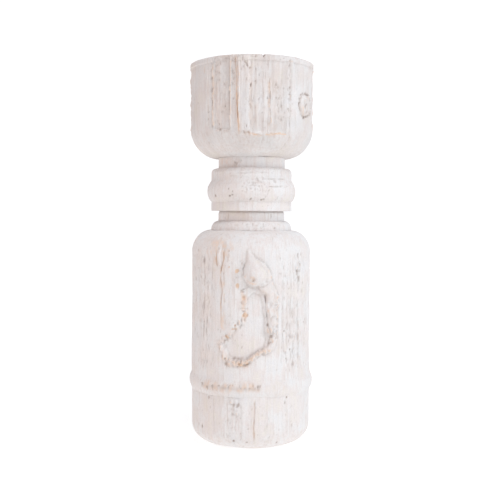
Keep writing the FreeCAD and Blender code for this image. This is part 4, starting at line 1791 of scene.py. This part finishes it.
    def flaked_paint(self) -> list[Mark]:
        """Spots where the paint came off in flakes, down the left of the bald field."""
        return [
            Chip((-13.1, 185.3), 5.2, 5.0, 0.7, 0.80, 0.0, 0.9),
            Chip((-12.5, 170.0), 5.4, 5.4, 0.8, 0.75, 0.15, 1.1),
            Thin(((-7.0, 168.0), (-6.0, 153.0), (-6.0, 138.0)), 10.0, 0.38),
            Thin(((-12.0, 127.0), (-24.0, 116.0)), 8.0, 0.16),
            Torn(((-7.0, 165.0), (-6.0, 153.0), (-6.0, 141.0)), 10.5, 1.0, 0.50, 0.25, (2.6, 1.4)),
            Chip((-5.6, 140.5), 9.5, 6.0, 0.9, 0.75, 0.1, 1.6),
            Chip((-7.3, 158.0), 4.4, 6.0, 0.6, 0.60, 0.0, 1.4),
            Torn(((-9.0, 136.0), (-14.0, 126.5)), 9.0, 1.1, 0.25, 0.45),
            Chip((-15.0, 125.8), 7.0, 3.4, 0.8, 0.60, 0.3, 1.8),
            Chip((-23.6, 117.6), 5.0, 4.6, 1.0, 0.85, 0.2, 1.5, -30.0),
            Torn(((-20.0, 119.0), (-26.0, 115.0), (-29.0, 111.0)), 10.0, 1.3, 0.30, 0.50),
            Torn(((-5.0, 138.0), (-10.5, 127.0), (-17.0, 114.0)), 3.6, 0.5, 0.05, 0.45),
            Chip((-9.5, 90.8), 8.0, 3.0, 1.0, 0.90, 0.1, 1.5, -6.0),
            Chip((-3.5, 92.4), 5.5, 3.2, 1.0, 0.90, 0.1, 1.4, -14.0),
            Torn(((-22.0, 90.0), (-3.0, 90.0)), 6.0, 0.9, 0.45, 0.50),
            Torn(((-23.0, 97.0), (-12.0, 95.0), (-2.0, 99.0)), 6.0, 0.9, 0.20, 0.50),
        ]

    def nicks(self) -> list[Mark]:
        """Lines and nicks on the trunk."""
        return [
            Chip((-67.1, 174.4), 2.2, 5.0, 1.0, 0.0, 0.9, 0.2),
            Check(((43.7, 114.0), (43.9, 82.0)), 1.4, 0.8, 0.0, 0.45, 0.5),
            Check(((30.0, 112.0), (29.5, 88.0)), 1.4, 0.5, 0.0, 0.35, 0.5),
            Check(((54.5, 188.0), (54.0, 150.0)), 1.4, 0.7, 0.0, 0.40, 0.6),
            Check(((-46.0, 140.0), (-46.5, 118.0)), 1.5, 0.7, 0.0, 0.45, 0.5),
            Chip((48.5, 184.0), 2.8, 4.6, 0.9, 0.0, 0.8, 0.4, 20.0),
            Chip((32.2, 124.3), 2.2, 2.2, 0.8, 0.0, 0.9, 0.2),
            Chip((39.5, 104.4), 2.2, 2.2, 0.8, 0.0, 0.9, 0.2),
            Chip((35.1, 95.8), 2.0, 2.0, 0.7, 0.0, 0.8, 0.2),
            Chip((61.8, 130.4), 2.0, 3.0, 0.8, 0.0, 0.9, 0.2),
            Check(((22.1, 220.0), (20.3, 210.0)), 1.4, 0.4, 0.0, 0.30, 0.8),
        ]

    def bead(self) -> list[Mark]:
        """The bead, rubbed through to the wood on its face."""
        return [
            Thin(((-46.0, 67.5), (-20.0, 67.0), (5.0, 68.5)), 14.0, 0.40),
            Veil(Window(-52.0, 8.0, 63.5, 70.0, 3.0), 0.30),
            Torn(((-48.0, 68.0), (-28.0, 66.5)), 11.0, 0.4, 0.30, 0.55, (1.6, 1.6)),
            Torn(((-26.0, 67.5), (8.0, 68.5)), 9.0, 0.5, 0.34, 0.50, (1.4, 2.4)),
            Chip((-37.0, 67.5), 2.4, 2.6, 0.4, 0.0, 0.7, 0.3),
            Chip((6.3, 68.3), 2.4, 2.4, 0.9, 0.2, 0.9, 0.2),
            Worn((26.0, 68.0), 20.0, 8.0, 0.22, 0.1, 2.4),
        ]

    def far_side(self) -> list[Mark]:
        """Knots, splits and rubbed patches on the back and sides, and chips all over."""
        return [
            Knot((150.0, 150.0), 26.0, 34.0, 0.7),
            Torn(((143.0, 150.0), (150.0, 164.0), (158.0, 150.0), (150.0, 136.0)), 9.0, 0.6, 0.10, 0.3,
                 (1.8, 4.0)),
            Check(((171.0, 200.0), (173.0, 160.0), (171.0, 120.0)), 2.0, 1.4, 0.8, 0.2),
            Check(((-118.0, 176.0), (-116.0, 130.0), (-117.0, 96.0)), 2.0, 1.2, 0.7, 0.2),
            Check(((104.0, 190.0), (103.0, 150.0)), 1.8, 1.0, 0.5, 0.3),
            Knot((-140.0, 112.0), 17.0, 22.0, 0.6),
            Worn((200.0, 67.0), 40.0, 11.0, 0.5, 0.1, 2.2),
            Worn((95.0, 68.0), 30.0, 9.0, 0.4, 0.1, 2.2),
            Chips(60, Window(-32.0, -8.0, 90.0, 196.0), (1.2, 2.8), (1.4, 4.0), (0.25, 0.7), 0.03),
            Chips(140, Window(24.0, 70.0, 82.0, 200.0), (1.2, 2.8), (1.6, 6.0), (0.3, 0.8), 0.0),
            Chips(120, Window(-75.0, -34.0, 82.0, 200.0), (1.2, 2.6), (1.6, 6.0), (0.3, 0.8), 0.0),
            Chips(420, Window(70.0, 285.0, 60.0, 215.0), (1.2, 3.2), (2.0, 7.0), (0.3, 0.9), 0.04),
            Chips(90, Window(-180.0, 180.0, 200.0, 224.0), (1.0, 2.4), (1.0, 3.0), (0.15, 0.45), 0.0),
        ]


@dataclass
class Foot(Turned):
    """The foot: hewn flats above a rounded lower edge."""

    edge_round: float = 19.0
    nut_well_depth: float = 20.0

    def outline(self) -> Outline:
        """Underside, rounded edge, wall, top, rod hole and nut well.

        Returns:
            The foot's half outline.
        """
        radius, bottom, top = span(self.node)
        seat = bottom + self.nut_well_depth
        line = Outline((self.joinery.nut_well, bottom), self.pitch)
        line.to(radius - self.edge_round, bottom, carved=True)
        line.quarter((radius, bottom), (radius, bottom + self.edge_round))
        line.to(radius, top, carved=True)
        line.to(radius - 1.0, top, carved=True)
        line.to(self.joinery.rod_hole, top)
        line.to(self.joinery.rod_hole, seat)
        line.to(self.joinery.nut_well, seat)
        return line

    def marks(self) -> list[Mark]:
        """Hewn flats of several widths, a split with raw wood in it, flakes and specks.

        Returns:
            The marks, in the order in which they are cut.
        """
        _, bottom, top = span(self.node)
        over = top + 20.0
        return [*self.front_flats(bottom, over), *self.far_flats(bottom, over), *self.damage(bottom, top)]

    def front_flats(self, bottom: float, over: float) -> list[Mark]:
        """The turned ground of the foot, and the flats hewn on its front."""
        return [
            Swell(26.0, 0.35),
            Swell(8.0, 0.14),
            Fibres(3.4, 40.0, 0.22, Window(low=bottom + 8.0), 0.22),
            Board(-62.0, -37.0, bottom + 14.0, over, -0.25, 0.35),
            Board(-36.6, -23.0, bottom + 10.0, over, 0.35, 0.10, 0.4),
            Board(-22.5, -9.0, bottom + 9.0, over, -0.25, 0.50, 1.6, 2.0),
            Board(-8.6, 3.0, bottom + 12.0, over, 0.15, 0.25),
            Board(4.0, 15.0, bottom + 12.0, over, 0.30, 0.12, 0.4),
            Board(15.0, 29.0, bottom + 12.0, over, 0.05, 0.15),
            Board(31.0, 43.0, bottom + 24.0, over, 0.30, 0.15),
            Board(43.5, 60.0, bottom + 14.0, over, -0.10, 0.20),
        ]

    def far_flats(self, bottom: float, over: float) -> list[Mark]:
        """The flats round the sides and back, each with its own width, depth and end.

        Args:
            bottom: the section's lowest height, in mm.
            over: a height above the section, where every flat ends.

        Returns:
            The marks, in the order in which they are cut.
        """
        chance = np.random.default_rng(self.seed + 1)
        flats: list[Mark] = []
        turn = 62.0
        while turn < 296.0:
            width = chance.uniform(8.0, 18.0)
            lift = chance.uniform(-0.5, 0.4)
            flats.append(Board(turn, turn + width, bottom + chance.uniform(8.0, 16.0), over, lift,
                               chance.uniform(0.1, 0.4)))
            turn += width
        return flats

    def damage(self, bottom: float, top: float) -> list[Mark]:
        """The split with raw wood in it, lines between the flats, flakes and specks."""
        return [
            Check(((-36.7, 57.0), (-36.6, 34.0), (-36.0, 14.0)), 1.4, 0.5, 0.05, 0.25),
            Check(((-22.6, 57.0), (-22.0, 38.0), (-20.5, 14.0)), 1.4, 0.4, 0.05, 0.15),
            Check(((-8.8, 57.0), (-9.0, 40.0), (-8.6, 15.0)), 1.4, 0.3, 0.0, 0.10),
            Check(((4.0, 55.0), (3.6, 45.0), (3.4, 33.0)), 1.4, 0.7, 0.30, 0.25),
            Check(((3.2, 36.0), (3.0, 26.0), (3.3, 14.0)), 1.6, 1.2, 0.40, 0.3, 0.4),
            Check(((0.5, 36.0), (0.3, 18.0)), 1.4, 0.5, 0.0, 0.3, 0.4),
            Check(((15.0, 44.0), (15.2, 20.0)), 1.4, 0.4, 0.0, 0.3),
            Torn(((32.5, 51.0), (31.5, 46.0), (36.0, 43.0)), 4.5, 0.8, 0.05, 0.50),
            Torn(((-20.0, 52.0), (-15.0, 48.0), (-11.0, 50.0)), 6.0, 0.9, 0.05, 0.45),
            Torn(((-19.0, 43.0), (-12.0, 38.5)), 7.0, 0.8, 0.05, 0.40),
            Chip((-16.0, 49.0), 3.0, 5.0, 0.7, 0.1, 0.6, 0.6),
            Chip((35.5, 56.3), 2.4, 2.4, 0.7, 0.3, 1.0, 0.2),
            Chip((-43.0, 54.5), 3.0, 4.0, 0.5, 0.2, 0.6, 0.5),
            Chip((-52.8, 22.5), 2.6, 5.0, 0.7, 0.0, 0.9, 0.2),
            Chip((-16.2, 12.4), 3.8, 2.2, 0.7, 0.0, 1.0, 0.3),
            Chip((-3.5, 11.6), 3.0, 2.0, 0.6, 0.0, 0.8, 0.3),
            Chip((27.0, 9.8), 3.0, 2.6, 0.8, 0.0, 1.0, 0.3, 40.0),
            Thin(((-46.0, 50.0), (-46.0, 26.0)), 16.0, 0.12),
            Thin(((3.0, 56.0), (3.2, 16.0)), 4.0, 0.12),
            Thin(((-40.0, 12.0), (-20.0, 12.0)), 8.0, 0.15),
            Chips(45, Window(-24.0, -8.0, 16.0, 52.0), (1.4, 3.4), (2.0, 5.0), (0.25, 0.6), 0.0, 0.3),
            Chips(380, Window(-180.0, 180.0, bottom + 2.0, top), (1.0, 3.0), (1.2, 5.0), (0.15, 0.55), 0.0),
        ]


# ------------------------------------------------------------------------------------------ fittings
@dataclass
class Fittings:
    """The CAD nodes whose shape already is right, and the finish that each one gets."""

    steel: tuple[str, ...] = ("tie_rod", "upper_washer", "upper_nut", "lower_washer", "lower_nut",
                              "pricket", "pricket_washer", "pricket_nut")
    pan: tuple[str, ...] = ("candle_pan",)
    wood: tuple[str, ...] = ("base_plug", "dowel_1", "dowel_2", "dowel_3")
    felt: tuple[str, ...] = ("felt_pad_1", "felt_pad_2", "felt_pad_3", "felt_pad_4")

    def dress(self) -> None:
        """Gives each fitting its material."""
        zinc = Steel("bright_zinc_plate_on_steel", "#D9DCDD", "#B4B9BB",
                     roughness=0.32, cloud_mm=6.0, scratch_mm=0.5)
        sheet = Steel("satin_pressed_steel", "#B9B5AE", "#8F8A82",
                      roughness=0.42, cloud_mm=14.0, scratch_mm=0.7, round_scratches=True)
        dressed = (
            (Slot.ZINC, self.steel, zinc),
            (Slot.PAN_STEEL, self.pan, sheet),
            (Slot.BARE_WOOD, self.wood, RawWood()),
            (Slot.FELT, self.felt, Felt()),
        )
        for slot, nodes, finish in dressed:
            material = finish.material()
            for name in nodes:
                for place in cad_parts[name].material_slots:
                    place.material = material
                log.info("%s: %s in slot %s", name, finish.name, slot.value)


# ------------------------------------------------------------------------------------------ studio
@dataclass
class Studio:
    """A pale sweep, soft lamps and the camera, in metres."""

    sweep: float = 3.2
    sweep_round: float = 0.5
    sweep_height: float = 2.4
    sweep_glow: float = 0.64
    tooth_per_metre: float = 900.0
    room_glow: float = 0.49
    aside: float = -0.0014
    distance: float = 0.909
    eye_height: float = 0.240
    tilt: float = -2.39
    roll: float = -0.3
    lens: float = 60.8

    def build(self) -> None:
        """Sets up the sweep, the lamps and the camera."""
        self.floor()
        self.lamp("key_lamp", (1.5, -0.85, 0.65), size=0.5, power=8.35, code="#F6F9FF")
        self.lamp("fill_lamp", (-1.5, -0.9, 0.6), size=1.4, power=4.7, code="#FFD2BE")
        self.lamp("top_lamp", (0.25, -0.75, 1.5), size=0.7, power=7.95, code="#F8FBFF")
        world = bpy.data.worlds.new("pale_room")
        world.use_nodes = True
        glow = world.node_tree.nodes["Background"]
        glow.inputs["Color"].default_value = linear("#F3F5FA")
        glow.inputs["Strength"].default_value = self.room_glow
        bpy.context.scene.world = world
        bpy.context.scene.view_settings.view_transform = "Standard"
        self.camera()

    def floor(self) -> None:
        """Models the sweep: a floor that turns up into a backdrop."""
        bpy.ops.object.select_all(action="DESELECT")
        bpy.ops.mesh.primitive_plane_add(size=self.sweep, location=(0, 0, 0))
        sweep = bpy.context.active_object
        sweep.name = "paper_sweep"
        bpy.ops.object.mode_set(mode="EDIT")
        bpy.ops.mesh.select_all(action="DESELECT")
        bpy.ops.object.mode_set(mode="OBJECT")
        for edge in sweep.data.edges:
            edge.select = all(sweep.data.vertices[end].co.y > 0 for end in edge.vertices)
        bpy.ops.object.mode_set(mode="EDIT")
        bpy.ops.mesh.extrude_region_move(TRANSFORM_OT_translate={"value": (0, 0, self.sweep_height)})
        bpy.ops.object.mode_set(mode="OBJECT")
        for edge in sweep.data.edges:
            ends = [sweep.data.vertices[end].co for end in edge.vertices]
            edge.select = all(end.y > 0 and end.z < MM for end in ends)
        bpy.ops.object.mode_set(mode="EDIT")
        bpy.ops.mesh.bevel(offset=self.sweep_round, segments=16)
        bpy.ops.object.mode_set(mode="OBJECT")
        bpy.ops.object.shade_smooth()
        material = bpy.data.materials.new("seamless_white_paper")
        material.use_nodes = True
        tree = material.node_tree
        shader = tree.nodes["Principled BSDF"]
        place = add_node(tree, "TexCoord").outputs["Object"]
        tooth = add_node(tree, "TexNoise", {}, {
            "Vector": place, "Scale": self.tooth_per_metre, "Detail": 2.0})
        bump = add_node(tree, "Bump", {}, {
            "Height": tooth.outputs["Fac"], "Strength": 0.05, "Distance": 0.0001})
        tree.links.new(bump.outputs[0], shader.inputs["Normal"])
        shader.inputs["Base Color"].default_value = linear("#BEBEBE")
        shader.inputs["Roughness"].default_value = 0.9
        shader.inputs["Emission Color"].default_value = linear("#FFFFFF")
        shader.inputs["Emission Strength"].default_value = self.sweep_glow
        sweep.data.materials.append(material)
        sweep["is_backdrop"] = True

    def lamp(self, name: str, place: tuple[float, float, float], size: float, power: float,
             code: str) -> None:
        """Hangs one soft lamp that points at the middle of the candlestick.

        Args:
            name: the lamp's name.
            place: where it hangs, in metres.
            size: its diameter, in metres.
            power: its power, in watts.
            code: its colour as "#RRGGBB".
        """
        low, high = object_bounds()
        target = (Vector(low) + Vector(high)) / 2
        bpy.ops.object.light_add(type="AREA", location=place)
        lamp = bpy.context.active_object
        lamp.name = name
        lamp.data.shape = "DISK"
        lamp.data.size = size
        lamp.data.energy = power
        lamp.data.color = linear(code)[:3]
        lamp.rotation_euler = (target - Vector(place)).to_track_quat("-Z", "Y").to_euler()

    def camera(self) -> None:
        """Stands the camera in front, a little above half height, and looks slightly down."""
        bpy.ops.object.camera_add(location=(self.aside, -self.distance, self.eye_height))
        camera = bpy.context.active_object
        camera.name = "front_camera"
        camera.data.lens = self.lens
        camera.data.clip_start = 0.01
        camera.rotation_euler = (math.radians(90 + self.tilt), math.radians(self.roll), 0)
        bpy.context.scene.camera = camera


# ------------------------------------------------------------------------------------------ the whole
def clear_defaults() -> None:
    """Removes what a new file holds besides the model."""
    for name in ("Cube", "Light", "Camera"):
        leftover = bpy.data.objects.get(name)
        if leftover:
            bpy.data.objects.remove(leftover)


def plain(box: tuple) -> list[list[float]]:
    """A box's corners as plain lists of numbers."""
    return [[float(value) for value in corner] for corner in box]


def main() -> None:
    """Builds every piece, dresses the fittings and sets up the studio."""
    logging.basicConfig(level=logging.INFO, format="%(name)s: %(message)s", stream=sys.stdout)
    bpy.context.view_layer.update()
    clear_defaults()
    whitewash = Whitewash().material()
    sections = (
        Cup("cup", seed=11, pitch=1.12, columns=540),
        Neck("neck_spindle", seed=12, pitch=1.2, columns=360),
        Collar("collar", seed=13, pitch=0.95, columns=460),
        ShoulderRing("shoulder_ring", seed=14, pitch=0.95, columns=420),
        Body("body", seed=15, pitch=1.3, columns=576),
        Foot("foot", seed=16, pitch=1.2, columns=540),
    )
    for section in sections:
        section.build(whitewash)
    Fittings().dress()
    Studio().build()
    log.info("done")


if __name__ == "__main__":
    main()
